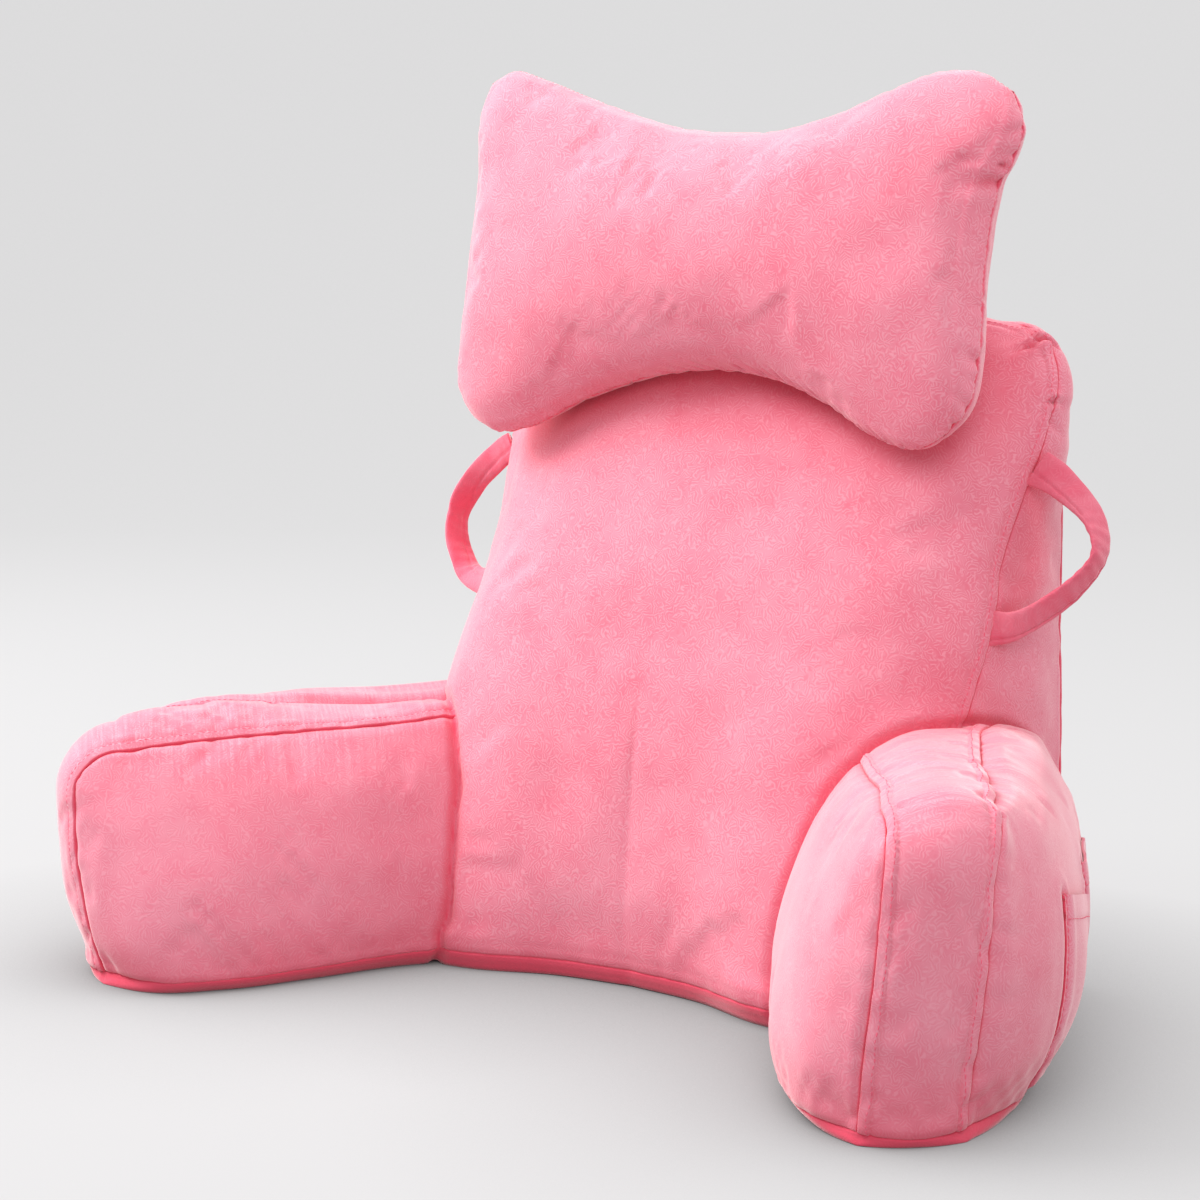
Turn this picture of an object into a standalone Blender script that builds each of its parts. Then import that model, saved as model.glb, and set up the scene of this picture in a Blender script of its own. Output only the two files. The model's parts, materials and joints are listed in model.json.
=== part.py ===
"""Reading pillow with arms: a filled backrest, two filled arms sewn to its sides, a filled neck
pillow of bow-tie outline at its top, two strap handles in the side seams and two patch pockets.

Metres. Seen from the front, X runs to the right, Y to the back and Z up. The tables are written
about the line through the two corners where the arms leave the backrest at the floor, with x = 0
in the middle; at the end everything is moved so that its own box stands centred on the origin.
"""

from collections import namedtuple
from math import cos, hypot, pi, radians, sin

import bmesh
import bpy
import numpy as np

# ---------------------------------------------------------------------------------------
# Sizes
# ---------------------------------------------------------------------------------------
GAP = 0.0004                # clearance between pieces that are sewn or pressed together
BASE_SEAM = 0.0105          # height of the seam round the backrest's base
ARM_BASE_SEAM = 0.0080      # the same round the arms' bases

# Backrest: the side seams of the front and back panels, a row for each height
Level = namedtuple("Level", "z front_x front_y rear_x rear_y")
SIDE_SEAMS = (
    Level(z=0.0105, front_x=0.222, front_y=0.020, rear_x=0.243, rear_y=0.230),
    Level(z=0.100, front_x=0.227, front_y=0.055, rear_x=0.247, rear_y=0.236),
    Level(z=0.207, front_x=0.233, front_y=0.102, rear_x=0.248, rear_y=0.241),
    Level(z=0.282, front_x=0.239, front_y=0.135, rear_x=0.246, rear_y=0.244),
    Level(z=0.370, front_x=0.244, front_y=0.174, rear_x=0.243, rear_y=0.248),
    Level(z=0.444, front_x=0.251, front_y=0.206, rear_x=0.236, rear_y=0.252),
    Level(z=0.520, front_x=0.250, front_y=0.236, rear_x=0.228, rear_y=0.262),
)
FRONT_TOP = 0.499           # height of the front panel's top seam at its corners
REAR_TOP = 0.488            # the same on the back panel
TOP_ARCH = 0.016            # rise of both top seams from the corners to the middle
FRONT_TOP_BOW = 0.034       # how far the front top seam bows forward in the middle
CORNER_RADIUS = 0.052       # rounding of the panels' two top corners
FRONT_CROWN = 0.066
REAR_CROWN = 0.030
GUSSET_CROWN = 0.008

# Front seam at the floor, from the middle to the side: it curves back between the arms
Foot = namedtuple("Foot", "x y")
FRONT_FOOT = (
    Foot(x=0.000, y=0.030),
    Foot(x=0.067, y=0.023),
    Foot(x=0.137, y=0.001),
    Foot(x=0.190, y=0.004),
    Foot(x=0.222, y=0.020),
)

# Arms: "along" runs from the inner corner at the backrest to the tip and "out" away from the
# lap, both level. A row for each place along the arm; "under" is the inner seam at the floor.
ARM_ROOT_X = 0.1364
ARM_SPLAY = radians(43.4)
Place = namedtuple("Place", "along under inner_top inner_crest outer_top outer_crest outer_under")
RIGHT_ARM = tuple(Place(*row) for row in (
    (-0.090, -0.020, 0.088, 0.190, 0.235, 0.192, 0.235),
    (-0.030, -0.005, 0.076, 0.190, 0.145, 0.206, 0.216),
    (0.000, 0.000, 0.066, 0.191, 0.139, 0.207, 0.203),
    (0.060, -0.003, 0.053, 0.197, 0.128, 0.208, 0.186),
    (0.130, -0.016, 0.040, 0.203, 0.114, 0.209, 0.168),
    (0.200, -0.025, 0.024, 0.207, 0.103, 0.211, 0.146),
    (0.255, -0.018, 0.011, 0.210, 0.094, 0.213, 0.112),
    (0.288, 0.000, 0.004, 0.210, 0.086, 0.212, 0.077),
))
LEFT_ARM = tuple(Place(*row) for row in (
    (-0.090, -0.020, 0.088, 0.192, 0.235, 0.195, 0.235),
    (-0.030, -0.005, 0.078, 0.192, 0.145, 0.208, 0.216),
    (0.000, 0.000, 0.068, 0.189, 0.140, 0.206, 0.203),
    (0.060, -0.004, 0.056, 0.184, 0.132, 0.199, 0.186),
    (0.130, -0.028, 0.047, 0.180, 0.119, 0.194, 0.168),
    (0.200, -0.048, 0.034, 0.178, 0.110, 0.192, 0.146),
    (0.255, -0.041, 0.021, 0.176, 0.101, 0.190, 0.112),
    (0.288, 0.000, 0.013, 0.176, 0.093, 0.188, 0.077),
))
TIP_LEAN = 0.020            # how far the tip's seams lean out at two thirds of their height
TIP_RADIUS = 0.046          # rounding between the top of an arm and its tip
INNER_CROWN = 0.026
OUTER_CROWN = 0.041
BAND_CROWN = 0.014          # crown of the band over an arm's top and tip

# Where an outer arm panel is sewn over the backrest's side, from the top down
Arch = namedtuple("Arch", "height along out")
ARM_ARCH = (
    Arch(height=0.206, along=-0.030, out=0.150),
    Arch(height=0.192, along=-0.055, out=0.192),
    Arch(height=0.160, along=-0.076, out=0.222),
    Arch(height=0.100, along=-0.088, out=0.235),
    Arch(height=ARM_BASE_SEAM, along=-0.090, out=0.235),
)

# Neck pillow: its seam lies in one plane that leans back; "across" and "up" are in that plane
NECK_FOOT = (0.0, 0.107, 0.420)
NECK_LEAN = 0.189           # metres back for each metre up
NECK_CROWN = 0.062
Point = namedtuple("Point", "across up")
NECK_TOP = tuple(Point(*row) for row in (
    (-0.246, 0.270), (-0.219, 0.287), (-0.187, 0.284), (-0.140, 0.269), (-0.090, 0.247),
    (-0.045, 0.233), (0.000, 0.228), (0.045, 0.228), (0.090, 0.239), (0.140, 0.259),
    (0.180, 0.272), (0.217, 0.270), (0.243, 0.254),
))
NECK_RIGHT_END = tuple(Point(*row) for row in (
    (0.220, 0.002), (0.236, 0.024), (0.241, 0.060), (0.238, 0.125), (0.243, 0.190),
    (0.253, 0.232), (0.243, 0.254),
))
NECK_LEFT_END = tuple(Point(*row) for row in (
    (-0.226, 0.000), (-0.242, 0.024), (-0.247, 0.060), (-0.249, 0.125), (-0.252, 0.190),
    (-0.254, 0.243), (-0.246, 0.270),
))
NECK_BOTTOM = tuple(Point(*row) for row in (
    (-0.226, 0.000), (-0.198, -0.010), (-0.165, -0.007), (-0.110, 0.018), (-0.055, 0.036),
    (0.000, 0.044), (0.055, 0.041), (0.110, 0.022), (0.160, -0.003), (0.195, -0.009),
    (0.220, 0.002),
))

# Strap handles: "up" from the middle between the two roots along the side seam, "reach" away
# from the seam on either side of the pillow, "back" behind it; "turn" is how far the strap has
# twisted from lying flat
Bend = namedtuple("Bend", "up reach_left reach_right back turn width")
HANDLE_MIDDLE = (0.2436, 0.1595, 0.338)
HANDLE_BENDS = tuple(Bend(*row) for row in (
    (0.059, 0.001, 0.001, 0.000, 0.0, 0.028),
    (0.054, 0.016, 0.021, 0.005, 12.0, 0.028),
    (0.037, 0.037, 0.047, 0.013, 40.0, 0.026),
    (0.012, 0.053, 0.060, 0.020, 72.0, 0.024),
    (-0.014, 0.055, 0.051, 0.022, 96.0, 0.023),
    (-0.038, 0.040, 0.026, 0.017, 126.0, 0.024),
    (-0.056, 0.017, 0.011, 0.008, 158.0, 0.025),
    (-0.062, 0.001, 0.001, 0.000, 180.0, 0.027),
))
STRAP_THICKNESS = 0.006

# Patch pockets on the right arm's outer panel, in cells of that panel's grid
Patch = namedtuple("Patch", "name first_along last_along top_row")
POCKETS = (
    Patch(name="pocket_small", first_along=10, last_along=13, top_row=6),
    Patch(name="pocket_large", first_along=5, last_along=10, top_row=7),
)
POCKET_FLOOR_ROW = 1
POCKET_MARGIN = 0.06        # share of a cell that a pocket stops short of its grid lines
POCKET_THICKNESS = 0.002
POCKET_GAP = 0.0006

# Cells of the faceted panels
BACKREST_CELLS = (20, 18, 5)
ARM_CELLS = (16, 10, 5)
NECK_CELLS = (26, 12)
STRAP_STEPS = 26
RIM = 0.03                  # width of a panel's first and last cell, as a share of its length
CROWN_POWER = 0.6           # below 1 a panel rises steeply beside its seams

PINK = (0.86, 0.23, 0.33, 1.0)


# ---------------------------------------------------------------------------------------
# Curves and grids
# ---------------------------------------------------------------------------------------
def column(rows, name):
    return np.array([getattr(row, name) for row in rows])


def smooth(keys, values, at):
    """Values of a smooth curve through the given ones, at other keys."""
    keys, values, at = np.asarray(keys, float), np.asarray(values, float), np.asarray(at, float)
    slopes = np.gradient(values, keys)
    cell = np.clip(np.searchsorted(keys, at, side="right") - 1, 0, len(keys) - 2)
    length = keys[cell + 1] - keys[cell]
    t = np.clip((at - keys[cell]) / length, 0.0, 1.0)
    start = (2 * t**3 - 3 * t**2 + 1) * values[cell] + (t**3 - 2 * t**2 + t) * length * slopes[cell]
    end = (3 * t**2 - 2 * t**3) * values[cell + 1] + (t**3 - t**2) * length * slopes[cell + 1]
    return start + end


def spaced(cells, rim=RIM):
    """Limits of the cells from 0 to 1, with narrow cells beside the seams."""
    return np.concatenate(([0.0], np.linspace(rim, 1.0 - rim, cells - 1), [1.0]))


def measured(points, shares):
    """Points at the given shares of a polyline's length."""
    points = np.asarray(points, float)
    lengths = np.concatenate(([0.0], np.cumsum(np.linalg.norm(np.diff(points, axis=0), axis=1))))
    wanted = np.asarray(shares) * lengths[-1]
    return np.stack([np.interp(wanted, lengths, points[:, axis]) for axis in range(3)], axis=1)


def spanned(bottom, top, left, right, us, vs):
    """Grid of points stretched between four edges that meet at their ends."""
    u, v = us[:, None, None], vs[None, :, None]
    between_long = (1 - v) * bottom[:, None] + v * top[:, None]
    between_short = (1 - u) * left[None] + u * right[None]
    corners = ((1 - u) * (1 - v) * bottom[0] + u * (1 - v) * bottom[-1]
               + (1 - u) * v * top[0] + u * v * top[-1])
    return between_long + between_short - corners


def facing(grid):
    """Unit directions square to a grid of points."""
    along = np.gradient(grid, axis=0)
    across = np.gradient(grid, axis=1)
    square = np.cross(along, across)
    return square / np.maximum(np.linalg.norm(square, axis=2, keepdims=True), 1e-12)


def crown(shares):
    return (4.0 * shares * (1.0 - shares)) ** CROWN_POWER


def crowned(grid, us, vs, rise):
    """A panel that the filling pushes out between its seams."""
    lift = rise * crown(us)[:, None] * crown(vs)[None, :]
    return grid + facing(grid) * lift[..., None]


# ---------------------------------------------------------------------------------------
# Meshes
# ---------------------------------------------------------------------------------------
def mesh_of_grids(name, grids):
    """One closed mesh, facing out, from grids of points that share their edges."""
    points = []
    faces = []
    numbers = {}

    def number(point):
        key = tuple(np.round(point, 6))
        if key not in numbers:
            numbers[key] = len(points)
            points.append(tuple(point))
        return numbers[key]

    for grid in grids:
        ids = [[number(point) for point in row] for row in grid]
        for i in range(len(ids) - 1):
            for j in range(len(ids[0]) - 1):
                low, ahead, over, above = ids[i][j], ids[i + 1][j], ids[i + 1][j + 1], ids[i][j + 1]
                for face in ((low, ahead, over), (low, over, above)):
                    if len(set(face)) == 3:
                        faces.append(face)
    mesh = bpy.data.meshes.new(name)
    mesh.from_pydata(points, [], faces)
    shell = bmesh.new()
    shell.from_mesh(mesh)
    bmesh.ops.recalc_face_normals(shell, faces=shell.faces)
    shell.to_mesh(mesh)
    shell.free()
    mesh.shade_smooth()
    return mesh


def velour(name, roughness=0.85):
    material = bpy.data.materials.new(name + "_velour")
    material.use_nodes = True
    shader = material.node_tree.nodes["Principled BSDF"]
    shader.inputs["Base Color"].default_value = PINK
    shader.inputs["Roughness"].default_value = roughness
    shader.inputs["Metallic"].default_value = 0.0
    return material


def piece(name, mesh):
    made = bpy.data.objects.new(name, mesh)
    bpy.context.collection.objects.link(made)
    made.data.materials.append(velour(name))
    return made


def cut_clear_of(made, cutter):
    cut = made.modifiers.new("clear_of_" + cutter.name, "BOOLEAN")
    cut.operation = "DIFFERENCE"
    cut.solver = "EXACT"
    cut.object = cutter


def boxed_grids(front, rear, cells, crowns, band_rise):
    """A filled cushion of two panels with a band between them and a flat base.

    front and rear hold each panel's edges (bottom, top, left, right), band_rise the band's
    crown at each point of its run up the left side, over the top and down the right side.
    """
    us, vs, ws = (spaced(count) for count in cells)
    panels = []
    for edges, rise in ((front, crowns[0]), (rear, crowns[1])):
        panels.append(crowned(spanned(*edges, us, vs), us, vs, rise))
    runs = [np.concatenate((left, top[1:], right[::-1][1:])) for _, top, left, right in (front, rear)]
    across = ws[None, :, None]
    band = (1 - across) * runs[0][:, None] + across * runs[1][:, None]
    lift = band_rise[:, None] * crown(ws)[None, :]
    band = band + facing(band) * lift[..., None]
    base = spanned(front[0], rear[0], band[0], band[-1], us, ws)
    base[1:-1, 1:-1, 2] = 0.0
    return panels[0], panels[1], band, base


# ---------------------------------------------------------------------------------------
# Backrest
# ---------------------------------------------------------------------------------------
def backrest_panel_edges(side_x, side_y, top_height, bow, foot, us, vs):
    """Edges of a backrest panel: foot seam, arched top seam and two side seams."""
    heights = column(SIDE_SEAMS, "z")
    centre_z = top_height - CORNER_RADIUS
    climb = np.linspace(BASE_SEAM, centre_z, 40)
    side_at = smooth(heights, side_x, climb)
    centre_x = side_at[-1] - CORNER_RADIUS
    angles = np.linspace(0.0, pi / 2, 24)
    turn_x = centre_x + CORNER_RADIUS * np.cos(angles)
    turn_z = centre_z + CORNER_RADIUS * np.sin(angles)
    over_x = np.linspace(centre_x, 0.0, 20)
    over_z = top_height + TOP_ARCH * (1.0 - (over_x / centre_x) ** 2)
    half_x = np.concatenate((side_at, turn_x[1:], over_x[1:]))
    half_z = np.concatenate((climb, turn_z[1:], over_z[1:]))
    half_y = smooth(heights, side_y, half_z)
    half_y[-len(over_x):] -= bow * (1.0 - (over_x / centre_x) ** 2)
    half = np.stack((half_x, half_y, half_z), axis=1)
    corner = len(climb) - 1 + len(angles) // 2
    mirror = np.array((-1.0, 1.0, 1.0))
    right = measured(half[: corner + 1], vs)
    left = right * mirror
    top_right = half[corner:][::-1]
    top = np.concatenate(((top_right * mirror)[::-1], top_right[1:]))
    return foot, measured(top, us), left, right


def backrest_grids():
    us, vs, ws = (spaced(count) for count in BACKREST_CELLS)
    foot_x = np.linspace(-1.0, 1.0, 61) * FRONT_FOOT[-1].x
    foot_y = smooth(column(FRONT_FOOT, "x"), column(FRONT_FOOT, "y"), np.abs(foot_x))
    foot = np.stack((foot_x, foot_y, np.full(61, BASE_SEAM)), axis=1)
    heel_x = np.linspace(-1.0, 1.0, 61) * SIDE_SEAMS[0].rear_x
    heel = np.stack((heel_x, np.full(61, SIDE_SEAMS[0].rear_y), np.full(61, BASE_SEAM)), axis=1)
    front = backrest_panel_edges(column(SIDE_SEAMS, "front_x"), column(SIDE_SEAMS, "front_y"),
                                 FRONT_TOP, FRONT_TOP_BOW, measured(foot, us), us, vs)
    rear = backrest_panel_edges(column(SIDE_SEAMS, "rear_x"), column(SIDE_SEAMS, "rear_y"),
                                REAR_TOP, 0.0, measured(heel, us), us, vs)
    run = 2 * BACKREST_CELLS[1] + BACKREST_CELLS[0] + 1
    rise = np.full(run, GUSSET_CROWN)
    return boxed_grids(front, rear, BACKREST_CELLS, (FRONT_CROWN, -REAR_CROWN), rise)


def backrest_mesh(name, swell=0.0):
    mesh = mesh_of_grids(name, backrest_grids())
    shell = bmesh.new()
    shell.from_mesh(mesh)
    steps = [vertex.normal * vertex.calc_shell_factor() * swell for vertex in shell.verts]
    for vertex, step in zip(shell.verts, steps):
        vertex.co += step
    shell.to_mesh(mesh)
    shell.free()
    return mesh


# ---------------------------------------------------------------------------------------
# Arms
# ---------------------------------------------------------------------------------------
def arm_point(along, out, height):
    """Place of a point given along an arm, out from its inner line and up."""
    x = ARM_ROOT_X + along * sin(ARM_SPLAY) + out * cos(ARM_SPLAY)
    y = -along * cos(ARM_SPLAY) + out * sin(ARM_SPLAY)
    return np.stack(np.broadcast_arrays(x, y, height), axis=-1)


def arm_panel_edges(rows, low, high, crest, root, us, vs):
    """Edges of an arm panel: floor seam, top seam, root and the seam down the tip."""
    places = column(rows, "along")
    tip = places[-1]
    floor_along = np.linspace(root[-1][0], tip, 50)
    floor = arm_point(floor_along, smooth(places, low, floor_along), ARM_BASE_SEAM)
    top_of_tip = crest[-1] - TIP_RADIUS
    climb = np.linspace(ARM_BASE_SEAM, top_of_tip, 20)
    share = (climb - ARM_BASE_SEAM) / (crest[-1] - ARM_BASE_SEAM)
    lean = TIP_LEAN * np.sin(np.minimum(share / 0.67, 1.0) * pi / 2)
    tip_out = low[-1] + (high[-1] - low[-1]) * share
    face = arm_point(tip + lean, tip_out, climb)
    centre_along = tip + lean[-1] - TIP_RADIUS
    angles = np.linspace(0.0, pi / 2, 20)[1:]
    turn_along = centre_along + TIP_RADIUS * np.cos(angles)
    turn_height = top_of_tip + TIP_RADIUS * np.sin(angles)
    top_out = smooth(places, high, centre_along)
    turn_out = np.interp(turn_height, (top_of_tip, crest[-1]), (tip_out[-1], top_out))
    turn = arm_point(turn_along, turn_out, turn_height)
    back_along = np.linspace(centre_along, root[0][0], 40)[1:]
    back = arm_point(back_along, smooth(places, high, back_along), smooth(places, crest, back_along))
    outline = np.concatenate((face, turn, back))
    corner = len(face) - 1 + len(angles) // 2
    root_line = arm_point(*(np.array([stop[axis] for stop in root]) for axis in range(3)))
    root_line[0] = outline[-1]
    root_line[-1] = floor[0]
    return (measured(floor, us), measured(outline[corner:][::-1], us),
            measured(root_line[::-1], vs), measured(outline[: corner + 1], vs))


def arm_grids(rows):
    us, vs, ws = (spaced(count) for count in ARM_CELLS)
    first = rows[1]
    inner_root = ((first.along, first.inner_top, first.inner_crest),
                  (first.along, first.under, ARM_BASE_SEAM))
    outer_root = tuple((stop.along, stop.out, stop.height) for stop in ARM_ARCH)
    inner = arm_panel_edges(rows, column(rows, "under"), column(rows, "inner_top"),
                            column(rows, "inner_crest"), inner_root, us, vs)
    outer = arm_panel_edges(rows, column(rows, "outer_under"), column(rows, "outer_top"),
                            column(rows, "outer_crest"), outer_root, us, vs)
    run = 2 * ARM_CELLS[1] + ARM_CELLS[0] + 1
    rise = np.full(run, BAND_CROWN)
    rise[: ARM_CELLS[1] + 1] = 0.0
    return boxed_grids(inner, outer, ARM_CELLS, (INNER_CROWN, -OUTER_CROWN), rise)


def arm_mesh(name, rows, side):
    return mesh_of_grids(name, [grid * np.array((side, 1.0, 1.0)) for grid in arm_grids(rows)])


# ---------------------------------------------------------------------------------------
# Neck pillow
# ---------------------------------------------------------------------------------------
def neck_point(across, up):
    length = hypot(1.0, NECK_LEAN)
    x = NECK_FOOT[0] + across
    y = NECK_FOOT[1] + up * NECK_LEAN / length
    z = NECK_FOOT[2] + up / length
    return np.stack((x, y, z), axis=-1)


def neck_edge(rows, shares):
    """A smooth edge through the rows of one side of the neck pillow's seam."""
    across, up = column(rows, "across"), column(rows, "up")
    run = np.concatenate(([0.0], np.cumsum(np.hypot(np.diff(across), np.diff(up)))))
    fine = np.linspace(0.0, run[-1], 60)
    return measured(neck_point(smooth(run, across, fine), smooth(run, up, fine)), shares)


def neck_pillow_mesh(name):
    us, vs = (spaced(count) for count in NECK_CELLS)
    flat = spanned(neck_edge(NECK_BOTTOM, us), neck_edge(NECK_TOP, us),
                   neck_edge(NECK_LEFT_END, vs), neck_edge(NECK_RIGHT_END, vs), us, vs)
    front = crowned(flat, us, vs, NECK_CROWN)
    rear = crowned(flat, us, vs, -NECK_CROWN)
    return mesh_of_grids(name, (front, rear))


# ---------------------------------------------------------------------------------------
# Handles
# ---------------------------------------------------------------------------------------
def handle_mesh(name, side):
    """A folded strap whose two ends lie flat in the side seam and whose loop twists outward."""
    middle = np.array(HANDLE_MIDDLE)
    seam = np.array((0.078, 0.402, 0.912))
    seam = seam / np.linalg.norm(seam)
    reach = np.array((1.0, 0.0, 0.0))
    reach = reach - seam * reach.dot(seam)
    reach = reach / np.linalg.norm(reach)
    back = np.cross(seam, reach)
    stations = np.linspace(0.0, 1.0, len(HANDLE_BENDS))
    at = np.linspace(0.0, 1.0, STRAP_STEPS + 1)
    reach_key = "reach_right" if side > 0 else "reach_left"
    up, out, behind, turn, width = (smooth(stations, column(HANDLE_BENDS, key), at)
                                    for key in ("up", reach_key, "back", "turn", "width"))
    path = middle + up[:, None] * seam + out[:, None] * reach + behind[:, None] * back
    heading = np.gradient(path, axis=0)
    heading = heading / np.linalg.norm(heading, axis=1, keepdims=True)
    angle = np.radians(turn)[:, None]
    wide = np.cos(angle) * seam + np.sin(angle) * back
    wide = wide - heading * np.sum(wide * heading, axis=1, keepdims=True)
    wide = wide / np.linalg.norm(wide, axis=1, keepdims=True)
    thick = np.cross(heading, wide)
    around = np.linspace(0.0, 2 * pi, 11)
    rim = np.sign(np.cos(around)) * np.abs(np.cos(around)) ** 0.6
    bulge = np.sign(np.sin(around)) * np.abs(np.sin(around)) ** 0.6
    rings = (path[:, None] + wide[:, None] * (width / 2)[:, None, None] * rim[None, :, None]
             + thick[:, None] * (STRAP_THICKNESS / 2) * bulge[None, :, None])
    rings = rings * np.array((side, 1.0, 1.0))
    caps = [np.stack((ring, np.broadcast_to(ring[:-1].mean(axis=0), ring.shape)))
            for ring in (rings[0], rings[-1])]
    return mesh_of_grids(name, (rings, *caps))


# ---------------------------------------------------------------------------------------
# Pockets
# ---------------------------------------------------------------------------------------
def drawn_in(block):
    """The block with its outermost points moved a little towards their neighbours."""
    block = block.copy()
    block[0] += POCKET_MARGIN * (block[1] - block[0])
    block[-1] += POCKET_MARGIN * (block[-2] - block[-1])
    block[:, 0] += POCKET_MARGIN * (block[:, 1] - block[:, 0])
    block[:, -1] += POCKET_MARGIN * (block[:, -2] - block[:, -1])
    return block


def pocket_mesh(name, patch):
    """A patch of cloth on the right arm's outer panel, from the floor seam up to its open top."""
    outer = arm_grids(RIGHT_ARM)[1]
    region = (slice(patch.first_along, patch.last_along + 1), slice(POCKET_FLOOR_ROW, patch.top_row + 1))
    away = -facing(outer)
    under = drawn_in((outer + away * POCKET_GAP)[region])
    over = drawn_in((outer + away * (POCKET_GAP + POCKET_THICKNESS))[region])
    sides = [np.stack((over[0], under[0])), np.stack((under[-1], over[-1])),
             np.stack((under[:, 0], over[:, 0])), np.stack((over[:, -1], under[:, -1]))]
    return mesh_of_grids(name, (over, under, *sides))


# ---------------------------------------------------------------------------------------
# The whole pillow
# ---------------------------------------------------------------------------------------
def clear_scene():
    for old in list(bpy.data.objects):
        bpy.data.objects.remove(old, do_unlink=True)


def centre_on_floor(made):
    """Move every piece so that the whole stands with the middle of its box over the origin."""
    bpy.context.view_layer.update()
    graph = bpy.context.evaluated_depsgraph_get()
    corners = []
    for thing in made:
        if not thing.hide_render:
            shaped = thing.evaluated_get(graph).to_mesh()
            corners.extend(tuple(vertex.co) for vertex in shaped.vertices)
    corners = np.array(corners)
    middle = (corners.min(axis=0) + corners.max(axis=0)) / 2
    for thing in made:
        thing.location.x -= middle[0]
        thing.location.y -= middle[1]
    print("moved by", -middle[:2], "size", corners.max(axis=0) - corners.min(axis=0))


def build():
    clear_scene()
    backrest = piece("backrest", backrest_mesh("backrest"))
    clearance = piece("backrest_clearance", backrest_mesh("backrest_clearance", swell=GAP))
    clearance.hide_render = True
    clearance.display_type = "WIRE"
    made = [backrest, clearance]
    for name, rows, side in (("arm_left", LEFT_ARM, -1.0), ("arm_right", RIGHT_ARM, 1.0)):
        arm = piece(name, arm_mesh(name, rows, side))
        cut_clear_of(arm, clearance)
        made.append(arm)
    neck = piece("neck_pillow", neck_pillow_mesh("neck_pillow"))
    cut_clear_of(neck, clearance)
    made.append(neck)
    for name, side in (("handle_left", -1.0), ("handle_right", 1.0)):
        handle = piece(name, handle_mesh(name, side))
        cut_clear_of(handle, clearance)
        made.append(handle)
    for patch in POCKETS:
        made.append(piece(patch.name, pocket_mesh(patch.name, patch)))
    centre_on_floor(made)


build()
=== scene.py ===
# %% [markdown]
# # Reading pillow with arms
#
# A backrest with two padded arms, a bow-tie neck pillow on top, two strap handles and two patch
# pockets, all in a pink short-pile velour. The solids that carry the sizes are loaded first and
# stay where they are. Every soft piece below is made in the same place, in metres, with Z up, and
# then stands in for its solid: first the cut of the cloth, then the filling, then the sewing,
# then the pile.

import json
from collections import namedtuple
from math import hypot, pi, radians, sin, cos

import bmesh
import bpy
import numpy as np
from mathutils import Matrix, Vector
from mathutils.bvhtree import BVHTree
from mathutils.kdtree import KDTree

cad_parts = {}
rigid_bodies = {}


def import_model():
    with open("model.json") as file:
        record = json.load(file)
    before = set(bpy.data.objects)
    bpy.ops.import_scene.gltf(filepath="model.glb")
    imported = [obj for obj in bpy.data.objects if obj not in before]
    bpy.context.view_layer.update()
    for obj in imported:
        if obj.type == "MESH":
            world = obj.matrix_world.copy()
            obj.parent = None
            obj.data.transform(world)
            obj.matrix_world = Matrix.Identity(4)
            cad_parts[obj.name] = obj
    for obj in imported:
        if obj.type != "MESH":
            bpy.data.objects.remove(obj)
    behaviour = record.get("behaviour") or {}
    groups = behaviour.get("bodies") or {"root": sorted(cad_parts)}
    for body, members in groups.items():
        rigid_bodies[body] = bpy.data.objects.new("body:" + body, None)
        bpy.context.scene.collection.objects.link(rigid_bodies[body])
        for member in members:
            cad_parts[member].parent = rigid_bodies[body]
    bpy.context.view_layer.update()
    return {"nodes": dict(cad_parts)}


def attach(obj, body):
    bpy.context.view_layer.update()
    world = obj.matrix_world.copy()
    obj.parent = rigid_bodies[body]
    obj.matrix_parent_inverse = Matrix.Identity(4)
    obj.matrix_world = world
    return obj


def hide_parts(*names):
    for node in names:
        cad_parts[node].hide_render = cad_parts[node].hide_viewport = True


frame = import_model()
# From the zero of the cutting tables to the frame's.
ROW_SHIFT = np.array((0.00050572, -0.02675414, 0.0))
print("frame holds", sorted(frame["nodes"]))

# %% [markdown]
# ## Camera
#
# The pillow is seen from the front and its right, from a little above the backrest's top. A long
# lens some two metres away keeps the arm in front from looking too big. The numbers are real
# distances from the point on the floor between the two arms' inner corners.

# %% Camera
CAMERA_ROUND = radians(35.8)
CAMERA_AWAY = 2.0726
CAMERA_HEIGHT = 0.5639
CAMERA_HEADING = radians(36.17)
CAMERA_DOWN = radians(7.30)
SENSOR_MM = 36.0
LENS_MM = 84.36


def add_camera():
    lens = bpy.data.cameras.new("camera")
    lens.sensor_width = SENSOR_MM
    lens.lens = LENS_MM
    lens.dof.use_dof = False
    camera = bpy.data.objects.new("camera", lens)
    camera.location = (CAMERA_AWAY * sin(CAMERA_ROUND) + ROW_SHIFT[0],
                       -CAMERA_AWAY * cos(CAMERA_ROUND) + ROW_SHIFT[1], CAMERA_HEIGHT)
    camera.rotation_euler = (pi / 2 - CAMERA_DOWN, 0.0, CAMERA_HEADING)
    bpy.context.scene.collection.objects.link(camera)
    bpy.context.scene.camera = camera
    return camera


print("camera at", tuple(round(value, 3) for value in add_camera().location))

# %% [markdown]
# ## Curves and panels
#
# A cushion is cut from flat panels. Each panel here is a grid of points stretched between four
# seam lines, and the filling pushes its middle out. A short table gives each seam a row for each
# place that matters, and one smooth curve runs through the rows.

# %% Curves through tables
def table(row_type, rows):
    return [row_type(*row) for row in rows]


def column(rows, name):
    return np.array([getattr(row, name) for row in rows])


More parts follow.
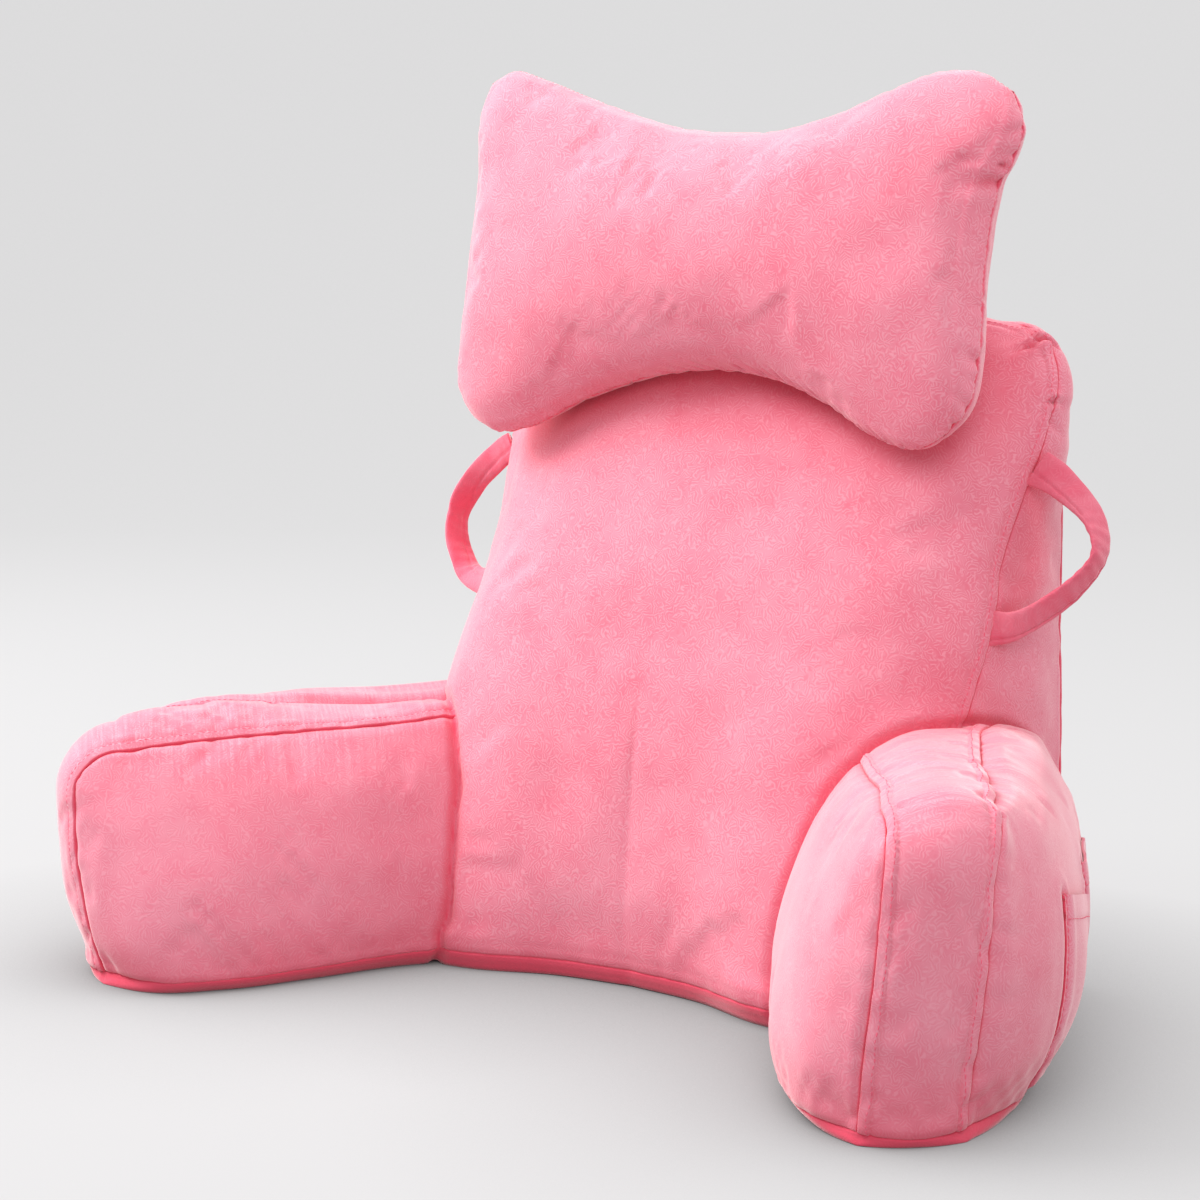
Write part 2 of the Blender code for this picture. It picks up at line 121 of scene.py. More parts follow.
def smooth(keys, values, at):
    """Values of a smooth curve through the given ones, at other keys (along the first axis)."""
    keys, values, at = np.asarray(keys, float), np.asarray(values, float), np.asarray(at, float)
    slopes = np.gradient(values, keys, axis=0)
    cell = np.clip(np.searchsorted(keys, at, side="right") - 1, 0, len(keys) - 2)
    spread = at.shape + (1,) * (values.ndim - 1)
    length = (keys[cell + 1] - keys[cell]).reshape(spread)
    t = np.clip((at - keys[cell]).reshape(spread) / length, 0.0, 1.0)
    start = (2 * t**3 - 3 * t**2 + 1) * values[cell] + (t**3 - 2 * t**2 + t) * length * slopes[cell]
    end = (3 * t**2 - 2 * t**3) * values[cell + 1] + (t**3 - t**2) * length * slopes[cell + 1]
    return start + end


def bell(away, width):
    """1 at no distance, a third a width away and next to nothing at two widths."""
    return np.exp(-(away / width) ** 2)


def unit(rows):
    return rows / np.linalg.norm(rows, axis=-1, keepdims=True)


def run_lengths(points):
    return np.concatenate(([0.0], np.cumsum(np.linalg.norm(np.diff(points, axis=0), axis=1))))


def measured(points, shares):
    """Points at the given shares of a polyline's length."""
    points = np.asarray(points, float)
    lengths = run_lengths(points)
    wanted = np.asarray(shares) * lengths[-1]
    return np.stack([np.interp(wanted, lengths, points[:, axis]) for axis in range(3)], axis=1)


# %% Panels between seams
EVEN_CROWN = (0.6, 0.6)
FOOT_REACH = 0.08


def spaced(cells, rim):
    """Limits of the cells from 0 to 1, with narrower ones beside the seams."""
    return np.concatenate(([0.0], np.linspace(rim, 1.0 - rim, cells - 1), [1.0]))


def sewing_shares(length, step, rim=0.014, lines=18):
    """Limits of a fine panel's cells: less than a millimetre beside its seams, wider inside."""
    rim = min(rim, length / 4)
    edge = rim * (np.arange(lines) / lines) ** 1.4
    inside = np.linspace(rim, length - rim, max(3, int(round((length - 2 * rim) / step)) + 1))
    return np.concatenate((edge, inside, length - edge[::-1])) / length


def spanned(bottom, top, left, right, us, vs):
    """Grid of points stretched between four edges that meet at their ends."""
    u, v = us[:, None, None], vs[None, :, None]
    between_long = (1 - v) * bottom[:, None] + v * top[:, None]
    between_short = (1 - u) * left[None] + u * right[None]
    corners = ((1 - u) * (1 - v) * bottom[0] + u * (1 - v) * bottom[-1]
               + (1 - u) * v * top[0] + u * v * top[-1])
    return between_long + between_short - corners


def facing(grid):
    """Unit directions square to a grid of points."""
    square = np.cross(np.gradient(grid, axis=0), np.gradient(grid, axis=1))
    return square / np.maximum(np.linalg.norm(square, axis=2, keepdims=True), 1e-12)


def four_edges(grid):
    return grid[0], grid[-1], grid[:, 0], grid[:, -1]


def crown(shares, power):
    return (4.0 * shares * (1.0 - shares)) ** power


def crowned(grid, us, vs, rise, powers=EVEN_CROWN, foot=0.0):
    """A panel that the filling pushes out between its seams, by a share less close to its foot."""
    eased = 1.0 - foot * np.exp(-vs / FOOT_REACH)
    lift = rise * crown(us, powers[0])[:, None] * (crown(vs, powers[1]) * eased)[None, :]
    return grid + facing(grid) * lift[..., None]


# %% [markdown]
# ## Sewing panels into one closed cover
#
# Panels that share a seam share its points. `sewn` welds the grids into one list of points and
# keeps, for every grid, the numbers of its points. So a cover can be handed to the cloth
# simulation and then read back as grids again.

# %% Weld grids into a cover
Cover = namedtuple("Cover", "points faces ids")


def sewn(grids):
    every = np.concatenate([grid.reshape(-1, 3) for grid in grids])
    keys = np.round(every * 1e6).astype(np.int64)
    _, first, number = np.unique(keys, axis=0, return_index=True, return_inverse=True)
    number = number.reshape(-1)
    ids = []
    faces = []
    start = 0
    for grid in grids:
        size = grid.shape[0] * grid.shape[1]
        own = number[start: start + size].reshape(grid.shape[:2])
        start += size
        ids.append(own)
        quads = np.stack((own[:-1, :-1], own[1:, :-1], own[1:, 1:], own[:-1, 1:]), axis=-1)
        for quad in quads.reshape(-1, 4).tolist():
            loop = list(dict.fromkeys(quad))
            if len(loop) > 2:
                faces.append(loop)
    return Cover(every[first], faces, ids)


def cover_mesh(name, cover):
    mesh = bpy.data.meshes.new(name)
    mesh.from_pydata(cover.points.tolist(), [], cover.faces)
    shell = bmesh.new()
    shell.from_mesh(mesh)
    bmesh.ops.recalc_face_normals(shell, faces=shell.faces)
    shell.to_mesh(mesh)
    shell.free()
    mesh.shade_smooth()
    return mesh


def point_array(mesh, field="co"):
    flat = np.zeros(len(mesh.vertices) * 3)
    mesh.vertices.foreach_get(field, flat)
    return flat.reshape(-1, 3)


def in_scene(name, data):
    made = bpy.data.objects.new(name, data)
    bpy.context.collection.objects.link(made)
    return made


# %% [markdown]
# ## Filling a cover
#
# The cut of the cloth alone is too even. A seam's thread is a little tighter than the cloth on
# either side of it, so a stuffed cushion puckers along its seams. Blender's Cloth does that: the
# inside is under pressure, the base is held, and the cloth is given a few hundredths more length
# everywhere but on the seams. The cut already has the swell of the filling, so only the puckers
# are kept: the slow part of the movement, found by averaging over neighbours, is taken off again.

# %% Cloth under pressure
Filling = namedtuple("Filling", "pressure slack frames cap")
AVERAGED = 40
CLOTH = {"quality": 6, "mass": 0.2, "air_damping": 2.0, "tension_stiffness": 18.0,
         "compression_stiffness": 10.0, "shear_stiffness": 6.0, "bending_stiffness": 0.12,
         "vertex_group_mass": "held", "vertex_group_shrink": "tight", "use_pressure": True,
         "shrink_max": 0.0}


def slow_part(mesh, moved):
    """The movement averaged over neighbouring points, again and again."""
    ends = np.zeros(len(mesh.edges) * 2, np.int64)
    mesh.edges.foreach_get("vertices", ends)
    first, second = ends.reshape(-1, 2).T
    count = 1.0 + sum(np.bincount(end, minlength=len(moved)) for end in (first, second))
    for _ in range(AVERAGED):
        total = moved.copy()
        np.add.at(total, first, moved[second])
        np.add.at(total, second, moved[first])
        moved = total / count[:, None]
    return moved


def filled(name, cover, held, seams, filling):
    """Points of the cover once its filling has puckered it. held and seams are masks of points."""
    mesh = cover_mesh(name + "_cloth", cover)
    work = in_scene(name + "_cloth", mesh)
    pins = work.vertex_groups.new(name="held")
    pins.add(np.flatnonzero(held).tolist(), 1.0, "REPLACE")
    tight = work.vertex_groups.new(name="tight")
    tight.add(np.flatnonzero(seams | held).tolist(), 1.0, "REPLACE")
    cloth = work.modifiers.new("cloth", "CLOTH")
    cloth.point_cache.frame_start = 1
    cloth.point_cache.frame_end = filling.frames
    settings = {**CLOTH, "shrink_min": -filling.slack, "uniform_pressure_force": filling.pressure}
    for key, value in settings.items():
        setattr(cloth.settings, key, value)
    cloth.settings.effector_weights.gravity = 0.0
    for step in range(1, filling.frames + 1):
        bpy.context.scene.frame_set(step)
    graph = bpy.context.evaluated_depsgraph_get()
    moved = point_array(work.evaluated_get(graph).data) - cover.points
    puckers = moved - slow_part(mesh, moved)
    bpy.data.objects.remove(work, do_unlink=True)
    bpy.context.scene.frame_set(1)
    length = np.linalg.norm(puckers, axis=1, keepdims=True)
    kept = np.tanh(length / filling.cap) * filling.cap / np.maximum(length, 1e-9)
    print(name, "swelled by up to", round(float(np.linalg.norm(moved, axis=1).max()) * 1000, 1),
          "mm, puckers up to", round(float((kept * length).max()) * 1000, 1), "mm")
    return cover.points + puckers * kept


# %% [markdown]
# ## A boxed cushion
#
# The backrest and the arms are boxed cushions: two panels, a band between them that runs up one
# side, over the top and down the other, and a flat base. `boxed` makes the four grids for the
# filling, and `finer` reads them at many more places afterwards, with a line every millimetre
# beside the seams, so that the sewing has points to be shaped with.

# %% Boxed cushions
Boxed = namedtuple("Boxed", "us vs ws front rear band base")
FOOT_EASE = 0.55


def boxed(front, rear, us, vs, ws, crowns, band_rise):
    """front and rear hold each panel's edges (bottom, top, left, right)."""
    panels = [crowned(spanned(*edges, us, vs), us, vs, rise, foot=FOOT_EASE)
              for edges, rise in ((front, crowns[0]), (rear, crowns[1]))]
    runs = [np.concatenate((left, top[1:], right[::-1][1:]))
            for _, top, left, right in (front, rear)]
    across = ws[None, :, None]
    band = (1 - across) * runs[0][:, None] + across * runs[1][:, None]
    lift = band_rise[:, None] * crown(ws, 1.0)[None, :]
    band = band + facing(band) * lift[..., None]
    base = spanned(front[0], rear[0], band[0], band[-1], us, ws)
    base[1:-1, 1:-1, 2] = 0.0
    return Boxed(us, vs, ws, panels[0], panels[1], band, base)


def finer(grid, keys, at):
    """The same surface read at other shares of its two directions."""
    along = smooth(keys[0], grid, at[0])
    return np.swapaxes(smooth(keys[1], np.swapaxes(along, 0, 1), at[1]), 0, 1)


def run_shares(us, vs):
    """Keys of a band's run: up the left side, over the top and down the right side."""
    return np.concatenate((vs, 1.0 + us[1:], 2.0 + (1.0 - vs[::-1])[1:]))


# %% [markdown]
# ## Where a point lies from a seam
#
# Sewing details are easiest to write in a seam's own terms: how deep a point lies inside the
# panel, and how far along the seam. A KD tree of points half a millimetre apart on the seam
# answers both for every point of the cover.

# %% Seam depths and runs
SEAM_SAMPLE = 0.0005
FAR = 0.12


def searched(points, places, reach):
    """A search tree of the places, and the numbers of the points that may be within reach."""
    tree = KDTree(len(places))
    for number, place in enumerate(places):
        tree.insert(place, number)
    tree.balance()
    low, high = places.min(axis=0) - reach, places.max(axis=0) + reach
    return tree, np.flatnonzero(((points > low) & (points < high)).all(axis=1))


def seam_places(points, seam):
    """Depth from the seam and run along it, for each point; depth is at most FAR."""
    total = run_lengths(seam)[-1]
    count = int(total / SEAM_SAMPLE) + 2
    tree, near = searched(points, measured(seam, np.linspace(0.0, 1.0, count)), FAR)
    depth = np.full(len(points), FAR)
    run = np.zeros(len(points))
    for number in near:
        _, nearest, away = tree.find(points[number])
        depth[number] = min(away, FAR)
        run[number] = nearest / (count - 1) * total
    return depth, run


def waves(points, wavelength, count, seed):
    """A soft random field of about -1 to 1: a sum of waves in random directions."""
    chance = np.random.default_rng(seed)
    headings = unit(chance.normal(size=(count, 3)))
    rates = 2 * pi / (wavelength * chance.uniform(0.7, 1.5, count))
    starts = chance.uniform(0.0, 2 * pi, count)
    return np.sin(points @ (headings * rates[:, None]).T + starts).sum(axis=1) / count ** 0.5 / 1.2


# %% [markdown]
# ## Felled seams, plain seams and gathers
#
# A felled seam is folded to one side and stitched down again about eight millimetres away. It
# shows as a raised band with a sharp groove on the seam and a shallow dimpled one under the
# top-stitch. A plain seam is only the groove. Gathers are the small folds that start at a seam
# where a longer edge was eased into a shorter one: deep at the seam and gone a few centimetres in.
# The largest folds lie at known places, so tables give each one's shallow and deep end.

# %% Seam profiles
BAND_WIDTH = 0.0085
BAND_RISE = 0.0017
GROOVE = 0.0011
STITCH_PITCH = 0.0046
STITCH_PULL = 0.0012
EDGE_STITCH = 0.0016
SHARP_EDGE = 0.0006


def dimples(run):
    """How hard each stitch pulls along a seam."""
    return STITCH_PULL * (0.7 + 0.3 * np.cos(2 * pi * run / STITCH_PITCH))


def felled(depth, run):
    edge = 1.0 - bell(depth, SHARP_EDGE)
    ridge = BAND_RISE * edge / (1 + np.exp((depth - BAND_WIDTH) / SHARP_EDGE))
    stitched = dimples(run) * bell(depth - BAND_WIDTH, 0.0010)
    puff = 0.0005 * bell(depth - BAND_WIDTH - 0.005, 0.004)
    return ridge - stitched + puff


def plain(depth, run):
    return 0.0004 * bell(depth - 0.005, 0.003) - GROOVE * bell(depth, 0.0008)


Gather = namedtuple("Gather", "run width reach depth slant")


def random_gathers(seed, start, end, spacing, width, reach, depth):
    """Gathers at uneven places between two runs of a seam."""
    chance = np.random.default_rng(seed)
    places = np.arange(start, end, spacing)
    places = places + chance.uniform(-0.4, 0.4, len(places)) * spacing
    return [Gather(place, width * chance.uniform(0.6, 1.5), reach * chance.uniform(0.5, 1.5),
                   depth * chance.uniform(0.3, 1.3), chance.uniform(-0.35, 0.35))
            for place in places]


def gathered(depth, run, gathers):
    """Troughs with a soft shoulder on either side, that start at the seam."""
    relief = np.zeros_like(depth)
    for fold in gathers:
        wide = fold.width * (1 + 0.6 * depth / fold.reach)
        aside = (run - fold.run - fold.slant * depth) / wide
        fade = bell(depth, fold.reach)
        relief -= fold.depth * fade * (bell(aside, 1.0) - 0.45 * bell(aside, 2.2))
    return relief


# %% Single creases
Crease = namedtuple("Crease", "start end width depth")


def creased(points, creases):
    """Soft troughs that start shallow inside a panel and end deep, mostly at a seam."""
    relief = np.zeros(len(points))
    for crease in creases:
        start, end = np.array(crease.start), np.array(crease.end)
        line = end - start
        share = np.clip((points - start) @ line / (line @ line), 0.0, 1.0)
        away = np.linalg.norm(points - start - share[:, None] * line, axis=1)
        wide = crease.width * (1.3 - 0.5 * share)
        near = bell(away, wide) - 0.42 * bell(away, 2.2 * wide)
        relief -= crease.depth * (0.12 + 0.88 * share**0.8) * near
    return relief


CORNER_CREASES = table(Crease, (
    ((0.2240, 0.2165, 0.4865), (0.2290, 0.2190, 0.4870), 0.0050, 0.0100),
    ((0.2060, 0.2030, 0.4730), (0.2275, 0.2150, 0.4855), 0.0030, 0.0110),
    ((0.2130, 0.2270, 0.4990), (0.2275, 0.2200, 0.4895), 0.0022, 0.0080),
    ((0.2480, 0.2400, 0.4830), (0.2300, 0.2200, 0.4880), 0.0028, 0.0090),
    ((0.2420, 0.2520, 0.4900), (0.2290, 0.2240, 0.4920), 0.0024, 0.0070),
    ((0.2400, 0.1960, 0.4440), (0.2510, 0.2070, 0.4443), 0.0024, 0.0080),
    ((0.2560, 0.2220, 0.4400), (0.2515, 0.2080, 0.4443), 0.0028, 0.0070),
    ((0.2560, 0.2180, 0.4180), (0.2505, 0.2000, 0.4300), 0.0030, 0.0045),
))
NECK_CREASES = table(Crease, (
    ((0.0249, 0.0926, 0.4875), (0.0400, 0.1075, 0.4640), 0.0022, 0.0043),
    ((0.0487, 0.0930, 0.4827), (0.0600, 0.1060, 0.4630), 0.0019, 0.0035),
    ((0.0699, 0.0939, 0.4731), (0.0800, 0.1040, 0.4580), 0.0022, 0.0046),
    ((0.0842, 0.0952, 0.4638), (0.0930, 0.1040, 0.4520), 0.0015, 0.0031),
    ((0.1005, 0.0938, 0.4636), (0.1110, 0.1030, 0.4460), 0.0022, 0.0046),
    ((0.1271, 0.0917, 0.4601), (0.1300, 0.0990, 0.4420), 0.0019, 0.0041),
    ((0.1411, 0.0931, 0.4454), (0.1440, 0.0990, 0.4320), 0.0017, 0.0035),
    ((0.1538, 0.0937, 0.4437), (0.1530, 0.1000, 0.4290), 0.0017, 0.0035),
    ((0.1675, 0.0943, 0.4371), (0.1700, 0.1010, 0.4190), 0.0017, 0.0035),
    ((0.1817, 0.0945, 0.4297), (0.1830, 0.1000, 0.4150), 0.0017, 0.0031),
    ((0.2120, 0.1150, 0.6230), (0.2410, 0.1400, 0.6165), 0.0036, 0.0080),
))
TURN_CREASES = table(Crease, (
    ((0.3700, -0.1720, 0.2205), (0.3420, -0.1930, 0.2140), 0.0030, 0.0040),
    ((0.3640, -0.1770, 0.2205), (0.3950, -0.1540, 0.2110), 0.0030, 0.0036),
    ((0.3560, -0.1860, 0.2130), (0.3400, -0.1850, 0.2170), 0.0018, 0.0040),
    ((0.3890, -0.1640, 0.2060), (0.3990, -0.1400, 0.2070), 0.0018, 0.0040),
    ((0.3830, -0.1600, 0.2140), (0.3960, -0.1480, 0.2120), 0.0016, 0.0034),
))
print(len(CORNER_CREASES) + len(NECK_CREASES) + len(TURN_CREASES), "single creases")

# %% [markdown]
# ## From relief to a finished cover
#
# Each sewing says which panel lies on which seam, with what profile and which gathers. Their
# relief is added up in metres and moves every point along its normal. How close a point lies to a
# seam is kept on the mesh as an attribute, which the velour reads to paint the seam's shade there.

# %% Sewing relief
Sewing = namedtuple("Sewing", "panel seam profile gathers")


def no_profile(depth, run):
    return np.zeros_like(depth)


def ungathered(*places):
    """Plain sewings without gathers, for pairs of a panel and a seam."""
    return [Sewing(panel, seam, plain, []) for panel, seam in places]


def sewing_relief(cover, seams, sewings):
    places = {name: seam_places(cover.points, line) for name, line in seams.items()}
    total = np.zeros(len(cover.points))
    panels = np.zeros(len(cover.points))
    closest = np.full(len(cover.points), FAR)
    for panel, ids in enumerate(cover.ids):
        own = np.unique(ids)
        relief = np.zeros(len(own))
        for sewing in sewings:
            if sewing.panel == panel:
                depth, run = (part[own] for part in places[sewing.seam])
                relief += sewing.profile(depth, run) + gathered(depth, run, sewing.gathers)
                if sewing.profile is not no_profile:
                    closest[own] = np.minimum(closest[own], depth)
        total[own] += relief
        panels[own] += 1
    return total / panels, closest


def outward(cover):
    mesh = cover_mesh("directions", cover)
    normals = point_array(mesh, "normal")
    bpy.data.meshes.remove(mesh)
    return normals


def raised(cover, relief):
    return cover._replace(points=cover.points + outward(cover) * relief[:, None])


# Width of the painted shade along a seam, and how a fold's depth turns into painted shade.
SEAM_LINE = 0.0009
FOLD_STARTS = 0.0012
FOLD_DEEPENS = 0.004
FOLD_MOST = 0.6


def soft_piece(name, cover, closest, material, relief=0.0):
    """The finished cover as an object in the frame. Its nearness to a seam, or the depth of the
    fold it lies in, is kept as an attribute that paints shade there."""
    placed = cover._replace(points=cover.points + ROW_SHIFT)
    mesh = cover_mesh(name, placed)
    seam = mesh.attributes.new("seam", "FLOAT", "POINT")
    fold_shade = np.clip((-relief - FOLD_STARTS) / FOLD_DEEPENS, 0.0, FOLD_MOST)
    seam.data.foreach_set("value", np.maximum(bell(closest, SEAM_LINE), fold_shade)
                          .astype(np.float32))
    made = in_scene(name, mesh)
    mesh.materials.append(material)
    print(name, len(mesh.polygons), "faces")
    return made


# %% [markdown]
# ## Velour
#
# Velour is a knit with a short cut pile. The pile lies this way and that, so the cloth is never
# one colour: soft patches where it was stroked, and short curled marks all over. It glows at
# grazing angles, which is the shader's sheen. The marks come from cells half a centimetre wide:
# each cell has its own direction and carries a few short parallel strokes, bent by a soft noise.
# They move the colour and, a little, the bump; their pale and deep sides are partly the pile's own
# tone and partly a painted highlight and a painted shade of their relief. On top of the arms the
# pile was stroked across, so long fine streaks lie there. In hollows, found by ambient occlusion,
# the pink is painted deeper and clearer: painted shade, for light that has bounced off the pile
# more than once before it is seen. Near seams and in folds the colour is painted shade too.

# %% Node helpers
def linked(tree, node_type, inputs=None, **settings):
    node = tree.nodes.new(node_type)
    for key, value in settings.items():
        setattr(node, key, value)
    for key, value in (inputs or {}).items():
        if isinstance(value, bpy.types.NodeSocket):
            tree.links.new(value, node.inputs[key])
        else:
            node.inputs[key].default_value = value
    return node


def arithmetic(tree, operation, first, second=None, third=None):
    inputs = {number: value for number, value in enumerate((first, second, third))
              if value is not None}
    return linked(tree, "ShaderNodeMath", inputs, operation=operation).outputs[0]


def noise(tree, where, scale, detail=2.0, rough=0.5, twist=0.0):
    inputs = {"Vector": where, "Scale": scale, "Detail": detail, "Roughness": rough,
              "Distortion": twist}
    return linked(tree, "ShaderNodeTexNoise", inputs).outputs["Fac"]


def ranged(tree, value, low, high, to_low=0.0, to_high=1.0):
    inputs = {"Value": value, "From Min": low, "From Max": high,
              "To Min": to_low, "To Max": to_high}
    return linked(tree, "ShaderNodeMapRange", inputs).outputs["Result"]


def mixed(tree, share, first, second, blend="MIX"):
    node = linked(tree, "ShaderNodeMix", data_type="RGBA", blend_type=blend)
    for socket, value in (("Factor_Float", share), ("A_Color", first), ("B_Color", second)):
        target = next(entry for entry in node.inputs if entry.identifier == socket)
        if isinstance(value, bpy.types.NodeSocket):
            tree.links.new(value, target)
        else:
            target.default_value = value
    return next(entry for entry in node.outputs if entry.identifier == "Result_Color")


def new_material(name, finish):
    """A material whose shader has the given inputs, with its node tree and that shader."""
    material = bpy.data.materials.new(name)
    material.use_nodes = True
    shader = material.node_tree.nodes["Principled BSDF"]
    for key, value in finish.items():
        shader.inputs[key].default_value = value
    return material, material.node_tree, shader


# %% Velour material
PILE_MID = (0.710, 0.215, 0.287, 1.0)
PILE_DEEP = (0.670, 0.108, 0.170, 1.0)
PILE_PALE = (0.775, 0.360, 0.424, 1.0)
SEAM_SHADE = (0.70, 0.036, 0.085, 1.0)
HOLLOW_SHADE = (0.74, 0.070, 0.122, 1.0)
HOLLOW_REACH = 0.07
THREAD_DEEP = (0.72, 0.08, 0.15, 1.0)
THREAD_PALE = (0.80, 0.13, 0.21, 1.0)
VELOUR_FINISH = {"Roughness": 0.92, "Specular IOR Level": 0.18, "Sheen Weight": 0.75,
                 "Sheen Roughness": 0.38, "Sheen Tint": (1.0, 0.80, 0.80, 1.0)}
PATCH_SCALE = 9.0
MOTTLE_SCALE = 48.0
FUZZ_SCALE = 900.0
WANDER_SCALE = 130.0
THREAD_SCALE = 400.0
MARK_CELLS = 215.0
MARK_STEP = 0.0020
MARK_WANDER = 0.007
STREAK_RATE = 420.0
STREAK_LENGTH = 1 / 16.0
BUMP_STRENGTH = 0.35
BUMP_DEPTH = 0.0005


def vector_sum(tree, operation, inputs, output="Vector"):
    return linked(tree, "ShaderNodeVectorMath", inputs, operation=operation).outputs[output]


def pile_strokes(tree, where):
    """Short bent strokes in all directions, about -1 to 1."""
    wander = linked(tree, "ShaderNodeTexNoise",
                    {"Vector": where, "Scale": WANDER_SCALE, "Detail": 1.0})
    bent = vector_sum(tree, "MULTIPLY_ADD",
                      {0: wander.outputs["Color"], 1: (MARK_WANDER,) * 3, 2: where})
    cell = linked(tree, "ShaderNodeTexVoronoi", {"Vector": bent, "Scale": MARK_CELLS})
    heading = vector_sum(tree, "SUBTRACT", {0: cell.outputs["Color"], 1: (0.5, 0.5, 0.5)})
    heading = vector_sum(tree, "NORMALIZE", {0: heading})
    across = vector_sum(tree, "DOT_PRODUCT", {0: bent, 1: heading}, "Value")
    lines = arithmetic(tree, "SINE", arithmetic(tree, "MULTIPLY", across, 2 * pi / MARK_STEP))
    near = ranged(tree, cell.outputs["Distance"], 0.55, 0.95, 1.0, 0.0)
    return arithmetic(tree, "MULTIPLY", lines, near)


def faces_up(tree):
    """1 where the cloth looks up, 0 where it stands and below 0 where it looks at the floor."""
    geometry = linked(tree, "ShaderNodeNewGeometry")
    return linked(tree, "ShaderNodeSeparateXYZ", {0: geometry.outputs["Normal"]}).outputs["Z"]


def top_streaks(tree, place, heading):
    """Long fine streaks square to a heading, where the cloth looks up."""
    inputs = {"Vector": place, "Rotation": (0.0, 0.0, heading),
              "Scale": (1 / STREAK_RATE, STREAK_LENGTH, STREAK_LENGTH)}
    turned = linked(tree, "ShaderNodeMapping", inputs, vector_type="TEXTURE").outputs["Vector"]
    lines = ranged(tree, noise(tree, turned, 1.0, 1.0, 0.5, 0.3), 0.35, 0.65, -0.8, 0.8)
    return arithmetic(tree, "MULTIPLY", lines, ranged(tree, faces_up(tree), 0.50, 0.90))


def velour(name, seed, marks=1.0, shade_lean=0.0, streaks=None):
    """marks is how strong the strokes are, shade_lean how far the whole leans to the deep pink as
    painted shade, and streaks the heading of the fine lines on top."""
    material, tree, shader = new_material(name, VELOUR_FINISH)
    place = linked(tree, "ShaderNodeTexCoord").outputs["Object"]
    where = linked(tree, "ShaderNodeMapping", {"Vector": place, "Location": (seed, seed * 0.7, 0.3)}
                   ).outputs["Vector"]
    patch = ranged(tree, noise(tree, where, PATCH_SCALE, 3.0, 0.55, 0.6), 0.34, 0.66)
    mottle = ranged(tree, noise(tree, where, MOTTLE_SCALE, 2.0, 0.5), 0.3, 0.7)
    stroke = pile_strokes(tree, where)
    if streaks is not None:
        stroke = arithmetic(tree, "ADD", arithmetic(tree, "MULTIPLY", stroke, 0.8),
                            top_streaks(tree, place, streaks))
    fuzz = noise(tree, where, FUZZ_SCALE, 2.0, 0.6)
    seam = linked(tree, "ShaderNodeAttribute", attribute_name="seam").outputs["Fac"]

    stroked = ranged(tree, patch, 0.0, 1.0, shade_lean, shade_lean + 0.42)
    base = mixed(tree, stroked, PILE_MID, PILE_DEEP)
    base = mixed(tree, ranged(tree, mottle, 0.0, 1.0, 0.0, 0.24), base, PILE_PALE)
    # The strokes' pale and deep sides are partly the pile's own tone and partly painted highlight
    # and painted shade of their relief.
    lit = ranged(tree, stroke, 0.20, 0.95, 0.0, 0.46 * marks)
    base = mixed(tree, lit, base, PILE_PALE)
    shaded = ranged(tree, stroke, -0.95, -0.45, 0.30 * marks, 0.0)
    base = mixed(tree, shaded, base, PILE_DEEP)
    # Painted shade: near seams, in folds and joints, on pocket edges and on the base, read from the
    # seam attribute, the colour leans to a deep crimson.
    base = mixed(tree, arithmetic(tree, "MULTIPLY", seam, 0.75), base, SEAM_SHADE)
    # Painted shade: where ambient occlusion finds a hollow, the colour leans to a deeper, clearer
    # pink.
    open_part = linked(tree, "ShaderNodeAmbientOcclusion", {"Distance": HOLLOW_REACH}, samples=4)
    hollow_shade = ranged(tree, open_part.outputs["AO"], 0.30, 0.90, 0.70, 0.0)
    base = mixed(tree, hollow_shade, base, HOLLOW_SHADE)
    tree.links.new(base, shader.inputs["Base Color"])

    height = arithmetic(tree, "MULTIPLY", stroke, 0.24)
    height = arithmetic(tree, "ADD", height, arithmetic(tree, "MULTIPLY", fuzz, 0.7))
    bump = linked(tree, "ShaderNodeBump", {"Height": height, "Strength": BUMP_STRENGTH,
                                           "Distance": BUMP_DEPTH})
    tree.links.new(bump.outputs["Normal"], shader.inputs["Normal"])
    return material


def thread(name="thread"):
    material, tree, shader = new_material(name, {"Roughness": 0.6})
    place = linked(tree, "ShaderNodeTexCoord").outputs["Object"]
    tone = noise(tree, place, THREAD_SCALE, 1.0)
    tree.links.new(mixed(tree, tone, THREAD_DEEP, THREAD_PALE), shader.inputs["Base Color"])
    return material


backrest_velour = velour("backrest_velour", 1.0)
arm_left_velour = velour("arm_left_velour", 4.0, streaks=0.813)
arm_right_velour = velour("arm_right_velour", 7.0, streaks=-0.813)
neck_velour = velour("neck_velour", 11.0)
# The straps' deep pink is painted shade: their faces turn away from the lamps.
strap_shaded_velour = velour("strap_shaded_velour", 15.0, marks=0.25, shade_lean=1.0)
pocket_velour = velour("pocket_velour", 19.0)
seam_thread = thread()

# %% [markdown]
# ## Backrest
#
# The big cushion at the back: wide and deep at the floor, thin at the top. Its side seams are cut
# by the table below, a row for each height. The front panel is round over the sitter's back, the
# rear one nearly flat, and the band between them fills the sides and the top.

